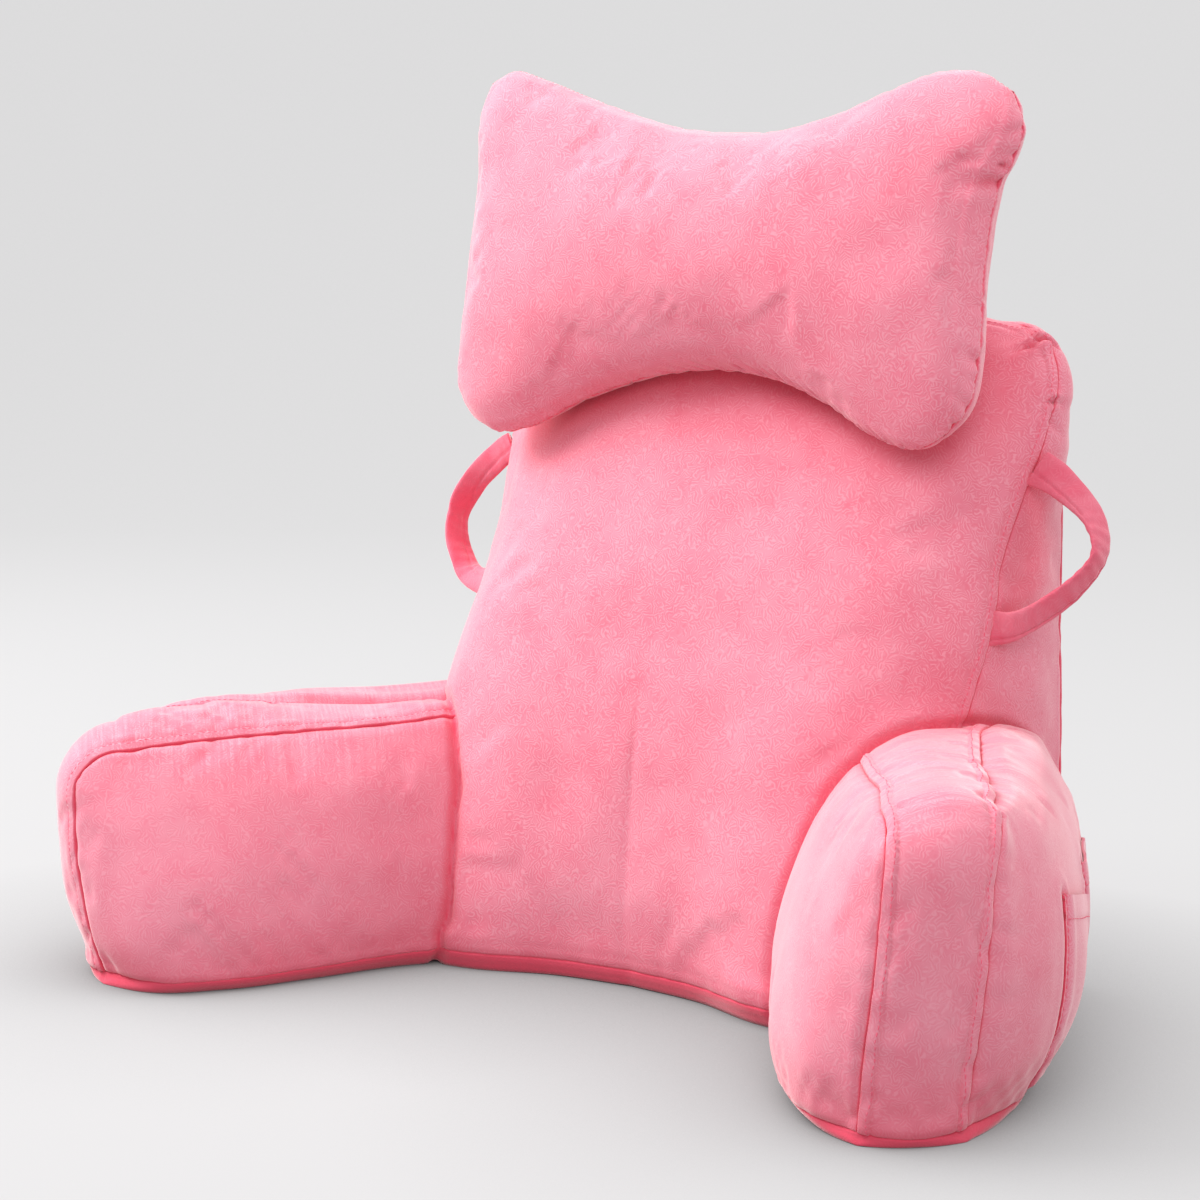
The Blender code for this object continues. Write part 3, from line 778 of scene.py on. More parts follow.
# %% Backrest: the cut
Level = namedtuple("Level", "z left_x front_x front_y rear_x rear_y")
SIDE_SEAMS = table(Level, (
    (0.0140, 0.222, 0.222, 0.000, 0.243, 0.230),
    (0.100, 0.227, 0.227, 0.052, 0.247, 0.236),
    (0.207, 0.236, 0.233, 0.102, 0.245, 0.241),
    (0.282, 0.229, 0.239, 0.135, 0.241, 0.244),
    (0.330, 0.230, 0.237, 0.156, 0.240, 0.246),
    (0.370, 0.237, 0.242, 0.174, 0.239, 0.248),
    (0.410, 0.244, 0.249, 0.191, 0.240, 0.250),
    (0.444, 0.250, 0.251, 0.206, 0.236, 0.252),
    (0.520, 0.250, 0.250, 0.236, 0.228, 0.262),
))
BASE_SEAM = 0.0140
FRONT_TOP = 0.501
REAR_TOP = 0.488
TOP_ARCH = 0.016
FRONT_TOP_BOW = 0.034
CORNER_RADIUS = 0.053
FRONT_CROWN = 0.066
REAR_CROWN = 0.030
GUSSET_CROWN = 0.008
Foot = namedtuple("Foot", "x y")
FRONT_FOOT = table(Foot, (
    (0.000, 0.010), (0.067, 0.002), (0.137, -0.022), (0.190, -0.019), (0.222, 0.000),
))


def side_and_top(side_x, side_y, top_height, bow):
    """Half of a panel's outline, up one side and over to the middle, and where its corner is."""
    heights = column(SIDE_SEAMS, "z")
    centre_z = top_height - CORNER_RADIUS
    climb = np.linspace(BASE_SEAM, centre_z, 160)
    side_at = smooth(heights, side_x, climb)
    centre_x = side_at[-1] - CORNER_RADIUS
    angles = np.linspace(0.0, pi / 2, 64)
    over_x = np.linspace(centre_x, 0.0, 80)
    over_z = top_height + TOP_ARCH * (1.0 - (over_x / centre_x) ** 2)
    half_x = np.concatenate((side_at, (centre_x + CORNER_RADIUS * np.cos(angles))[1:], over_x[1:]))
    half_z = np.concatenate((climb, (centre_z + CORNER_RADIUS * np.sin(angles))[1:], over_z[1:]))
    half_y = smooth(heights, side_y, half_z)
    half_y[-len(over_x):] -= bow * (1.0 - (over_x / centre_x) ** 2)
    return np.stack((half_x, half_y, half_z), axis=1), len(climb) - 1 + len(angles) // 2


def backrest_panel_edges(left_x, right_x, side_y, top_height, bow, foot, us, vs):
    """Edges of a backrest panel: foot seam, arched top seam and two side seams."""
    right, corner = side_and_top(right_x, side_y, top_height, bow)
    left, _ = side_and_top(left_x, side_y, top_height, bow)
    left = left * np.array((-1.0, 1.0, 1.0))
    top = np.concatenate((left[corner:], right[corner:][::-1][1:]))
    left_side, right_side = (measured(side[: corner + 1], vs) for side in (left, right))
    return foot, measured(top, us), left_side, right_side


def backrest_cut(us, vs, ws):
    sideways = np.linspace(-1.0, 1.0, 241)
    level = np.full(241, BASE_SEAM)
    foot_x = sideways * FRONT_FOOT[-1].x
    foot_y = smooth(column(FRONT_FOOT, "x"), column(FRONT_FOOT, "y"), np.abs(foot_x))
    foot = np.stack((foot_x, foot_y, level), axis=1)
    lowest = SIDE_SEAMS[0]
    heel = np.stack((sideways * lowest.rear_x, np.full(241, lowest.rear_y), level), axis=1)
    rear_x = column(SIDE_SEAMS, "rear_x")
    front = backrest_panel_edges(column(SIDE_SEAMS, "left_x"), column(SIDE_SEAMS, "front_x"),
                                 column(SIDE_SEAMS, "front_y"), FRONT_TOP, FRONT_TOP_BOW,
                                 measured(foot, us), us, vs)
    rear = backrest_panel_edges(rear_x, rear_x, column(SIDE_SEAMS, "rear_y"), REAR_TOP, 0.0,
                                measured(heel, us), us, vs)
    rise = np.full(2 * len(vs) + len(us) - 2, GUSSET_CROWN)
    return boxed(front, rear, us, vs, ws, (FRONT_CROWN, -REAR_CROWN), rise)


# %% Fill a boxed cushion and read it finely
Fine = namedtuple("Fine", "us vs ws")


ROLL_REACH = 1.9
ROLL_FADE = 0.05
ROLL_CORNER = 0.008
ROLL_INSETS = {"backrest": 0.45, "arm_left": 1.1, "arm_right": 1.1}


def rolled_under(inside, height, inset):
    """How far the slanting rim of the base stands out from a flat base's even spacing."""
    reach = ROLL_REACH * height
    beyond = np.maximum(inside - reach, 0.0)
    out = (ROLL_REACH - inset) * height
    return np.where(inside < reach, out * inside / reach, out * bell(beyond, ROLL_FADE))


def base_roll(front_foot, rear_foot, left, right, us, ws, inset):
    """The flat base, whose rim slants up and out to the seam round it."""
    base = spanned(front_foot, rear_foot, left, right, us, ws)
    height = base[..., 2].copy()
    forward = front_foot - rear_foot
    deep = np.linalg.norm(forward, axis=1)[:, None]
    sideways = left - right
    wide = np.linalg.norm(sideways, axis=1)[None, :]
    inside_w = np.minimum(ws, 1 - ws)[None, :] * deep
    inside_u = np.minimum(us, 1 - us)[:, None] * wide
    ahead = np.where(ws < 0.5, 1.0, -1.0)[None, :] * rolled_under(inside_w, height, inset) * (
        1.0 - bell(inside_u, ROLL_CORNER))
    aside = np.where(us < 0.5, 1.0, -1.0)[:, None] * rolled_under(inside_u, height, inset) * (
        1.0 - bell(inside_w, ROLL_CORNER))
    base += (ahead[..., None] * (forward / deep)[:, None]
             + aside[..., None] * (sideways / wide.T)[None])
    share = np.clip(np.minimum(inside_w, inside_u) / (ROLL_REACH * height), 0.0, 1.0)
    base[..., 2] = height * (1.0 - share) ** 1.25
    return base


def fill_boxed(name, cut, fine, filling, held_run=0):
    """Grids of a boxed cushion after filling. held_run is how many of the band's first rows are
    held because they lie inside another cushion."""
    cover = sewn((cut.front, cut.rear, cut.band, cut.base))
    held = np.zeros(len(cover.points), bool)
    seams = held.copy()
    front_ids, rear_ids, band_ids, base_ids = cover.ids
    for seam in four_edges(front_ids) + four_edges(rear_ids):
        seams[seam] = True
    held[base_ids] = True
    held[band_ids[:held_run]] = True
    points = filled(name, cover, held, seams, filling)
    front, rear = (finer(points[ids], (cut.us, cut.vs), (fine.us, fine.vs))
                   for ids in (front_ids, rear_ids))
    band = finer(points[band_ids], (run_shares(cut.us, cut.vs), cut.ws),
                 (run_shares(fine.us, fine.vs), fine.ws))
    for side, panel in ((0, front), (-1, rear)):
        band[:, side] = np.concatenate((panel[0], panel[1:, -1], panel[-1][::-1][1:]))
    base = base_roll(front[:, 0], rear[:, 0], band[0], band[-1], fine.us, fine.ws,
                     ROLL_INSETS[name])
    return front, rear, band, base


# %% Backrest: filling and sewing
BACKREST_FILLING = Filling(pressure=1.2, slack=0.02, frames=24, cap=0.0012)
backrest_cut_grids = backrest_cut(spaced(50, 0.02), spaced(54, 0.02), spaced(14, 0.05))
backrest_fine = Fine(sewing_shares(0.49, 0.0036), sewing_shares(0.56, 0.0036),
                     sewing_shares(0.13, 0.0040, rim=0.010))
backrest_grids = fill_boxed("backrest", backrest_cut_grids, backrest_fine, BACKREST_FILLING)


def boxed_seams(grids):
    front, rear, band, _ = grids
    return {"front": band[:, 0], "rear": band[:, -1], "foot": front[:, 0], "heel": rear[:, 0],
            "left_base": band[0], "right_base": band[-1]}


FRONT, REAR, BAND, BASE = range(4)
BACKREST_SEWINGS = [
    Sewing(FRONT, "front", felled, random_gathers(3, 0.30, 1.40, 0.028, 0.006, 0.018, 0.0012)),
    Sewing(BAND, "front", plain, random_gathers(4, 0.30, 1.40, 0.030, 0.006, 0.020, 0.0014)),
    Sewing(REAR, "rear", felled, random_gathers(5, 0.10, 1.50, 0.034, 0.006, 0.018, 0.0010)),
    Sewing(BAND, "rear", plain, random_gathers(6, 0.10, 1.50, 0.034, 0.006, 0.018, 0.0010)),
    Sewing(FRONT, "foot", plain, random_gathers(7, 0.02, 0.44, 0.030, 0.006, 0.014, 0.0007)),
    Sewing(REAR, "heel", plain, random_gathers(8, 0.02, 0.46, 0.034, 0.006, 0.014, 0.0007)),
    *ungathered((BASE, "foot"), (BASE, "heel"), (BAND, "left_base"), (BAND, "right_base"),
                (BASE, "left_base"), (BASE, "right_base")),
]
backrest_cover = sewn(backrest_grids)
backrest_seams = boxed_seams(backrest_grids)
print("backrest cover has", len(backrest_cover.points), "points; front seam",
      round(run_lengths(backrest_seams["front"])[-1], 3), "m")

# %% [markdown]
# ## Arms
#
# Each arm is a boxed cushion too, set at an angle so that the pair opens towards the front. The
# table has a row for each place along the arm. "Along" runs from the backrest to the tip and
# "out" away from the lap. The band over the top is the narrow strip between the two felled seams.

# %% Arms: the cut
Rise = namedtuple("Rise", "along height")
ARM_BASE_SEAM = table(Rise, (
    (-0.090, 0.0145), (0.000, 0.0140), (0.130, 0.0110), (0.288, 0.0085),
))
ARM_ROOT_X = 0.1364
ARM_SPLAY = radians(43.4)
Place = namedtuple("Place", "along under inner_top inner_crest outer_top outer_crest outer_under")
RIGHT_ARM = table(Place, (
    (-0.090, -0.023, 0.088, 0.190, 0.240, 0.192, 0.238),
    (-0.030, -0.008, 0.076, 0.190, 0.176, 0.209, 0.219),
    (0.000, -0.003, 0.066, 0.191, 0.156, 0.210, 0.202),
    (0.060, -0.006, 0.053, 0.197, 0.138, 0.210, 0.182),
    (0.130, -0.019, 0.042, 0.203, 0.120, 0.210, 0.160),
    (0.200, -0.029, 0.034, 0.207, 0.107, 0.211, 0.139),
    (0.255, -0.020, 0.021, 0.210, 0.096, 0.213, 0.106),
    (0.288, 0.001, 0.014, 0.210, 0.086, 0.212, 0.071),
))
LEFT_ARM = table(Place, (
    (-0.090, -0.023, 0.088, 0.192, 0.235, 0.188, 0.238),
    (-0.030, -0.008, 0.078, 0.192, 0.145, 0.193, 0.219),
    (0.000, -0.003, 0.068, 0.189, 0.140, 0.183, 0.206),
    (0.060, -0.007, 0.056, 0.184, 0.132, 0.176, 0.189),
    (0.130, -0.031, 0.047, 0.180, 0.119, 0.187, 0.171),
    (0.200, -0.051, 0.034, 0.178, 0.110, 0.194, 0.149),
    (0.255, -0.044, 0.021, 0.176, 0.101, 0.190, 0.115),
    (0.288, -0.003, 0.013, 0.176, 0.093, 0.180, 0.080),
))
TIP_LEAN = 0.020
TIP_RADIUS = 0.036
INNER_CROWN = 0.026
OUTER_CROWN = 0.041
BAND_CROWN = 0.012
Arch = namedtuple("Arch", "height along out")
ARM_ARCH = table(Arch, (
    (0.206, -0.030, 0.178),
    (0.192, -0.055, 0.212),
    (0.160, -0.076, 0.229),
    (0.100, -0.088, 0.235),
    (ARM_BASE_SEAM[0].height, -0.090, 0.235),
))


def arm_point(along, out, height):
    """Place of a point given along an arm, out from its inner line and up."""
    x = ARM_ROOT_X + along * sin(ARM_SPLAY) + out * cos(ARM_SPLAY)
    y = -along * cos(ARM_SPLAY) + out * sin(ARM_SPLAY)
    return np.stack(np.broadcast_arrays(x, y, height), axis=-1)


def arm_panel_edges(rows, low, high, crest, root, us, vs):
    """Edges of an arm panel: floor seam, top seam, root and the seam down the tip."""
    places = column(rows, "along")
    tip = places[-1]
    floor_along = np.linspace(root[-1][0], tip, 200)
    floor_height = smooth(*(column(ARM_BASE_SEAM, key) for key in ("along", "height")), floor_along)
    floor = arm_point(floor_along, smooth(places, low, floor_along), floor_height)
    top_of_tip = crest[-1] - TIP_RADIUS
    climb = np.linspace(floor_height[-1], top_of_tip, 80)
    share = (climb - climb[0]) / (crest[-1] - climb[0])
    lean = TIP_LEAN * np.sin(np.minimum(share / 0.67, 1.0) * pi / 2)
    tip_out = low[-1] + (high[-1] - low[-1]) * share**1.4
    face = arm_point(tip + lean, tip_out, climb)
    centre_along = tip + lean[-1] - TIP_RADIUS
    angles = np.linspace(0.0, pi / 2, 64)[1:]
    turn_height = top_of_tip + TIP_RADIUS * np.sin(angles)
    top_out = smooth(places, high, centre_along)
    turn_out = np.interp(turn_height, (top_of_tip, crest[-1]), (tip_out[-1], top_out))
    turn = arm_point(centre_along + TIP_RADIUS * np.cos(angles), turn_out, turn_height)
    back_along = np.linspace(centre_along, root[0][0], 160)[1:]
    back = arm_point(back_along, *(smooth(places, line, back_along) for line in (high, crest)))
    outline = np.concatenate((face, turn, back))
    corner = len(face) - 1 + len(angles) // 2
    root_line = arm_point(*(np.array([stop[axis] for stop in root]) for axis in range(3)))
    root_line[0] = outline[-1]
    root_line[-1] = floor[0]
    return (measured(floor, us), measured(outline[corner:][::-1], us),
            measured(root_line[::-1], vs), measured(outline[: corner + 1], vs))


def arm_cut(rows, side, us, vs, ws):
    first = rows[1]
    inner_root = ((first.along, first.inner_top, first.inner_crest),
                  (first.along, first.under, ARM_BASE_SEAM[0].height))
    outer_root = tuple((stop.along, stop.out, stop.height) for stop in ARM_ARCH)
    inner = arm_panel_edges(rows, column(rows, "under"), column(rows, "inner_top"),
                            column(rows, "inner_crest"), inner_root, us, vs)
    outer = arm_panel_edges(rows, column(rows, "outer_under"), column(rows, "outer_top"),
                            column(rows, "outer_crest"), outer_root, us, vs)
    rise = np.full(2 * len(vs) + len(us) - 2, BAND_CROWN)
    rise[: len(vs)] = 0.0
    cut = boxed(inner, outer, us, vs, ws, (INNER_CROWN, -OUTER_CROWN), rise)
    turn = np.array((side, 1.0, 1.0))
    return cut._replace(front=cut.front * turn, rear=cut.rear * turn, band=cut.band * turn,
                        base=cut.base * turn)


# %% Arms: filling and sewing
ARM_FILLING = Filling(pressure=1.4, slack=0.02, frames=24, cap=0.0014)
ARM_FINE = Fine(*(sewing_shares(*row) for row in ((0.40, 0.0034), (0.21, 0.0030), (0.11, 0.0030))))
ARM_ROOT_ROWS = 22
ARM_ROOT_RIM = 0.035


ARM_GATHERS = (
    (FRONT, "front", plain, 0.24, 0.74, 0.024, 0.005, 0.016, 0.0011),
    (BAND, "front", felled, 0.24, 0.74, 0.026, 0.005, 0.012, 0.0009),
    (REAR, "rear", plain, 0.24, 0.80, 0.022, 0.005, 0.020, 0.0016),
    (BAND, "rear", felled, 0.24, 0.80, 0.026, 0.005, 0.012, 0.0009),
    (FRONT, "foot", plain, 0.02, 0.36, 0.030, 0.006, 0.016, 0.0008),
    (REAR, "heel", plain, 0.02, 0.44, 0.030, 0.006, 0.016, 0.0008),
)


def arm_sewings(seed):
    eased = [Sewing(panel, seam, profile, random_gathers(seed + number, *row))
             for number, (panel, seam, profile, *row) in enumerate(ARM_GATHERS)]
    return eased + ungathered((BASE, "foot"), (BASE, "heel"), (BAND, "right_base"),
                              (BASE, "right_base"))


arm_grids = {}
for arm, rows, side in (("arm_left", LEFT_ARM, -1.0), ("arm_right", RIGHT_ARM, 1.0)):
    cut = arm_cut(rows, side, spaced(44, 0.02), spaced(21, ARM_ROOT_RIM), spaced(12, 0.05))
    arm_grids[arm] = fill_boxed(arm, cut, ARM_FINE, ARM_FILLING, held_run=ARM_ROOT_ROWS)
    print(arm, "has", sum(grid.shape[0] * grid.shape[1] for grid in arm_grids[arm]), "grid points")

# %% [markdown]
# ## Neck pillow
#
# Two panels of bow-tie outline, joined by one seam all round and filled. The seam lies in a plane
# that leans back. It is stitched once more close to its edge, and along its lower edge, where the
# long panel was eased into the curve, it is full of small gathers.

# %% Neck pillow: the cut
NECK_FOOT = (0.0, 0.107, 0.420)
NECK_LEAN = 0.189
NECK_CROWN = 0.060
NECK_POWERS = (0.40, 0.55)
Point = namedtuple("Point", "across up")
NECK_TOP = table(Point, (
    (-0.242, 0.276), (-0.217, 0.286), (-0.187, 0.279), (-0.140, 0.263), (-0.090, 0.247),
    (-0.045, 0.235), (0.000, 0.231), (0.045, 0.231), (0.090, 0.241), (0.140, 0.260),
    (0.180, 0.272), (0.214, 0.270), (0.241, 0.255),
))
NECK_RIGHT_END = table(Point, (
    (0.215, 0.002), (0.232, 0.024), (0.237, 0.060), (0.234, 0.125), (0.237, 0.180),
    (0.252, 0.230), (0.241, 0.255),
))
NECK_LEFT_END = table(Point, (
    (-0.222, 0.001), (-0.237, 0.025), (-0.239, 0.060), (-0.237, 0.125), (-0.239, 0.190),
    (-0.246, 0.243), (-0.242, 0.276),
))
NECK_BOTTOM = table(Point, (
    (-0.222, 0.001), (-0.196, -0.011), (-0.165, -0.007), (-0.110, 0.018), (-0.055, 0.036),
    (0.000, 0.044), (0.055, 0.041), (0.110, 0.022), (0.160, -0.003), (0.193, -0.009),
    (0.215, 0.002),
))


def neck_edge(rows, shares):
    """A smooth edge through the rows of one side of the neck pillow's seam."""
    across, up = column(rows, "across"), column(rows, "up")
    run = np.concatenate(([0.0], np.cumsum(np.hypot(np.diff(across), np.diff(up)))))
    fine = np.linspace(0.0, run[-1], 240)
    across, up = smooth(run, across, fine), smooth(run, up, fine)
    length = hypot(1.0, NECK_LEAN)
    line = np.stack((NECK_FOOT[0] + across, NECK_FOOT[1] + up * NECK_LEAN / length,
                     NECK_FOOT[2] + up / length), axis=-1)
    return measured(line, shares)


# %% Neck pillow: filling and sewing
NECK_FILLING = Filling(pressure=1.6, slack=0.03, frames=24, cap=0.0016)
neck_us, neck_vs = spaced(60, 0.014), spaced(34, 0.02)
neck_flat = spanned(neck_edge(NECK_BOTTOM, neck_us), neck_edge(NECK_TOP, neck_us),
                    neck_edge(NECK_LEFT_END, neck_vs), neck_edge(NECK_RIGHT_END, neck_vs),
                    neck_us, neck_vs)
neck_cover = sewn([crowned(neck_flat, neck_us, neck_vs, rise, NECK_POWERS)
                   for rise in (NECK_CROWN, -NECK_CROWN)])
neck_held = np.zeros(len(neck_cover.points), bool)
neck_sewn = neck_held.copy()
neck_held[neck_cover.ids[1][len(neck_us) // 2, len(neck_vs) // 2]] = True
for ids in neck_cover.ids:
    for seam in four_edges(ids):
        neck_sewn[seam] = True
neck_points = neck_cover.points
neck_points = filled("neck_pillow", neck_cover, neck_held, neck_sewn, NECK_FILLING)
NECK_FINE = (sewing_shares(0.52, 0.0016), sewing_shares(0.28, 0.0026))
neck_grids = [finer(neck_points[ids], (neck_us, neck_vs), NECK_FINE) for ids in neck_cover.ids]
neck_rim = np.concatenate((neck_grids[0][0], neck_grids[0][1:, -1], neck_grids[0][-1][::-1][1:],
                           neck_grids[0][:, 0][::-1][1:]))
neck_seams = {"rim": neck_rim, "left": neck_grids[0][0], "top": neck_grids[0][:, -1],
              "right": neck_grids[0][-1], "bottom": neck_grids[0][:, 0]}


def edge_stitched(depth, run):
    return 0.0006 * bell(depth - 0.0045, 0.003) - dimples(run) * bell(depth, EDGE_STITCH)


LOWER_GATHERS = random_gathers(21, 0.20, 0.45, 0.0085, 0.0017, 0.013, 0.0022)
LOWER_GATHERS = [fold._replace(slant=fold.slant * 0.5 - 0.75) for fold in LOWER_GATHERS]
SIDE_TUCKS = table(Gather, (
    (0.192, 0.0050, 0.030, 0.0065, -0.25),
    (0.214, 0.0035, 0.018, 0.0030, -0.5),
    (0.236, 0.0035, 0.016, 0.0030, -0.6),
    (0.062, 0.0040, 0.016, 0.0034, 0.2),
    (0.026, 0.0040, 0.020, 0.0034, 0.4),
    (0.010, 0.0035, 0.020, 0.0030, 0.6),
))
NECK_SEWINGS = (
    Sewing(FRONT, "rim", edge_stitched, []),
    Sewing(REAR, "rim", plain, []),
    Sewing(FRONT, "bottom", no_profile, LOWER_GATHERS
           + random_gathers(22, 0.02, 0.21, 0.020, 0.0035, 0.014, 0.0014)),
    Sewing(FRONT, "right", no_profile, SIDE_TUCKS
           + random_gathers(23, 0.03, 0.25, 0.017, 0.0030, 0.010, 0.0013)),
    Sewing(FRONT, "top", no_profile, random_gathers(24, 0.40, 0.54, 0.014, 0.0030, 0.010, 0.0016)
           + random_gathers(25, 0.02, 0.40, 0.030, 0.0050, 0.018, 0.0010)),
    Sewing(FRONT, "left", no_profile, random_gathers(26, 0.02, 0.26, 0.022, 0.0040, 0.016, 0.0014)),
    Sewing(REAR, "bottom", no_profile, random_gathers(27, 0.02, 0.48, 0.018, 0.0040, 0.020, 0.0018)),
    Sewing(REAR, "right", no_profile, random_gathers(28, 0.02, 0.26, 0.018, 0.0035, 0.014, 0.0020)),
    Sewing(REAR, "left", no_profile, random_gathers(29, 0.02, 0.26, 0.018, 0.0035, 0.014, 0.0020)),
    Sewing(REAR, "top", no_profile, random_gathers(30, 0.02, 0.54, 0.024, 0.0040, 0.018, 0.0014)),
)
print("neck pillow rim", round(run_lengths(neck_rim)[-1], 3), "m")

# %% [markdown]
# ## Where the arms and the neck pillow meet the backrest
#
# The arms are sewn into the backrest's sides, so both covers dive into a crease there. The line of
# the crease is found by asking, for every edge of the arm's cover, whether the backrest's surface
# passes between its two ends. The patch pockets are sewn flat on the right arm, which draws a
# valley round them. The neck pillow only leans on the backrest, which flattens it: each of its
# points that would lie inside the backrest is brought out to the surface.

# %% Where the two patch pockets lie
Patch = namedtuple("Patch", "node rear_foot rear_top front_foot front_top floor top_rear top_front")
POCKETS = table(Patch, (
    ("pocket_small", 0.545, 0.545, 0.818, 0.782, 0.014, 0.490, 0.622),
    ("pocket_large", 0.290, 0.290, 0.535, 0.530, 0.014, 0.550, 0.580),
))


def patch_shares(patch, across, up):
    """Shares of the arm's outer panel for shares across and up a patch."""
    rear = patch.rear_foot + (patch.rear_top - patch.rear_foot) * up
    front = patch.front_foot + (patch.front_top - patch.front_foot) * up
    top = patch.top_rear + (patch.top_front - patch.top_rear) * across
    return rear + (front - rear) * across, patch.floor + (top - patch.floor) * up


def read_at(panel, shares, u, v):
    """Places of a panel at any pair of shares."""
    steps = (400, 240)
    even = finer(panel, shares, [np.linspace(0.0, 1.0, count + 1) for count in steps])
    first, second = (np.clip((part * count).astype(int), 0, count - 1)
                     for part, count in zip((u, v), steps))
    ahead, above = (u * steps[0] - first)[..., None], (v * steps[1] - second)[..., None]
    low = even[first, second] * (1 - ahead) + even[first + 1, second] * ahead
    high = even[first, second + 1] * (1 - ahead) + even[first + 1, second + 1] * ahead
    return low * (1 - above) + high * above


def patch_outline(patch):
    """The patch's three sewn edges on the arm's panel before its relief: rear, foot and front."""
    run = np.linspace(0.0, 1.0, 60)
    none, all_of_it = np.zeros(60), np.ones(60)
    across = np.concatenate((none, run, all_of_it))
    up = np.concatenate((run[::-1], none, run))
    return read_at(arm_grids["arm_right"][REAR], (ARM_FINE.us, ARM_FINE.vs),
                   *patch_shares(patch, across, up))


print("pocket outlines",
      [round(float(run_lengths(patch_outline(patch))[-1]), 3) for patch in POCKETS], "m")

# %% Crease lines and contact
JOINT_DEPTH = 0.0030
JOINT_WIDTH = 0.0045
VALLEY_REACH = 0.02
TOUCH = 0.0006


def signed_heights(tree, points, reach=0.05):
    """How far each point stands outside the surface (negative inside), and the nearest places."""
    heights = np.full(len(points), reach)
    nearest = points.copy()
    normals = np.zeros_like(points)
    for number, point in enumerate(points):
        place, normal, _, away = tree.find_nearest(Vector(point), reach)
        if place is not None:
            inside = (Vector(point) - place).dot(normal) < 0
            heights[number] = -away if inside else away
            nearest[number] = place
            normals[number] = normal
    return heights, nearest, normals


def cover_tree(cover):
    mesh = cover_mesh("surface", cover)
    faces = [tuple(face.vertices) for face in mesh.polygons]
    tree = BVHTree.FromPolygons([tuple(point) for point in cover.points], faces)
    bpy.data.meshes.remove(mesh)
    return tree


def joint_line(cover, heights):
    """Places where the edges of the cover pass through the other surface."""
    places = []
    for ids in cover.ids:
        for first, second in ((ids[:-1], ids[1:]), (ids[:, :-1], ids[:, 1:])):
            first, second = first.ravel(), second.ravel()
            crossing = (heights[first] > 0) != (heights[second] > 0)
            first, second = first[crossing], second[crossing]
            share = heights[first] / (heights[first] - heights[second])
            places.append(cover.points[first] * (1 - share)[:, None]
                          + cover.points[second] * share[:, None])
    return np.concatenate(places)


def distance_to(points, places):
    """How far each point lies from the nearest place, or FAR where a valley wouldn't reach."""
    tree, near = searched(points, places, VALLEY_REACH)
    away = np.full(len(points), FAR)
    for number in near:
        away[number] = tree.find(points[number])[2]
    return away


def joint_valley(away):
    ridge = 0.0006 * bell(away - 0.009, 0.004)
    return ridge - JOINT_DEPTH * bell(away, JOINT_WIDTH)


def patch_valley(away):
    return 0.0008 * bell(away - 0.010, 0.005) - 0.0024 * bell(away, 0.0040)


backrest_relief, backrest_closest = sewing_relief(backrest_cover, backrest_seams, BACKREST_SEWINGS)
backrest_relief += creased(backrest_cover.points, CORNER_CREASES)
backrest_tree = cover_tree(backrest_cover)
arm_covers = {}
for arm, grids in arm_grids.items():
    cover = sewn(grids)
    heights, _, _ = signed_heights(backrest_tree, cover.points)
    joint = joint_line(cover, heights)
    sewings = arm_sewings(40 if arm == "arm_left" else 60)
    relief, closest = sewing_relief(cover, boxed_seams(grids), sewings)
    away = distance_to(cover.points, joint)
    # The joint crease also gets painted shade through closest.
    relief, closest = relief + joint_valley(away), np.minimum(closest, away)
    if arm == "arm_right":
        relief += creased(cover.points, TURN_CREASES)
        for patch in POCKETS:
            away = distance_to(cover.points, patch_outline(patch))
            relief += patch_valley(away)
            # The pocket's outline also gets painted shade.
            closest = np.minimum(closest, away)
    arm_covers[arm] = (cover, relief, closest)
    away = distance_to(backrest_cover.points, joint)
    backrest_relief = backrest_relief + joint_valley(away)
    # The backrest also gets painted shade along the joint.
    backrest_closest = np.minimum(backrest_closest, away)
    print(arm, "is sewn on along", len(joint), "places")

# %% [markdown]
# ## Making the four cushions
#
# The relief is applied to each cover along its normals. A soft random wave of a millimetre is
# added, since a stuffed panel is never quite even, and it fades out at the seams and on the base.
# The whole base panel gets the painted seam shade, for the shade under its rim, which shows as a
# dark band where the rim turns up to the seam.

# %% The cushions as objects
UNEVEN = 0.0011
UNEVEN_LENGTH = 0.075
UNEVEN_WAVES = 24
UNEVEN_MARGIN = 0.02


def uneven(points, closest, seed):
    inside = 1.0 - bell(closest, UNEVEN_MARGIN)
    lifted = np.clip(points[:, 2] / UNEVEN_MARGIN, 0.0, 1.0)
    return UNEVEN * waves(points, UNEVEN_LENGTH, UNEVEN_WAVES, seed) * inside * lifted


def on_floor(cover):
    """Nothing reaches below the floor."""
    points = cover.points.copy()
    points[:, 2] = np.maximum(points[:, 2], 0.0)
    return cover._replace(points=points)


backrest_relief = backrest_relief + uneven(backrest_cover.points, backrest_closest, 1)
backrest_cover = on_floor(raised(backrest_cover, backrest_relief))
# Painted shade: the whole base panel takes the seam shade.
backrest_closest[backrest_cover.ids[BASE]] = 0.0
backrest = soft_piece("backrest_cushion", backrest_cover, backrest_closest, backrest_velour,
                      backrest_relief)

arms = {}
for arm, material, seed in (("arm_left", arm_left_velour, 2), ("arm_right", arm_right_velour, 3)):
    cover, relief, closest = arm_covers[arm]
    cover = on_floor(raised(cover, relief + uneven(cover.points, closest, seed)))
    arm_covers[arm] = (cover, relief, closest)
    # Painted shade: the whole base panel takes the seam shade.
    closest[cover.ids[BASE]] = 0.0
    arms[arm] = soft_piece(arm + "_cushion", cover, closest, material, relief)

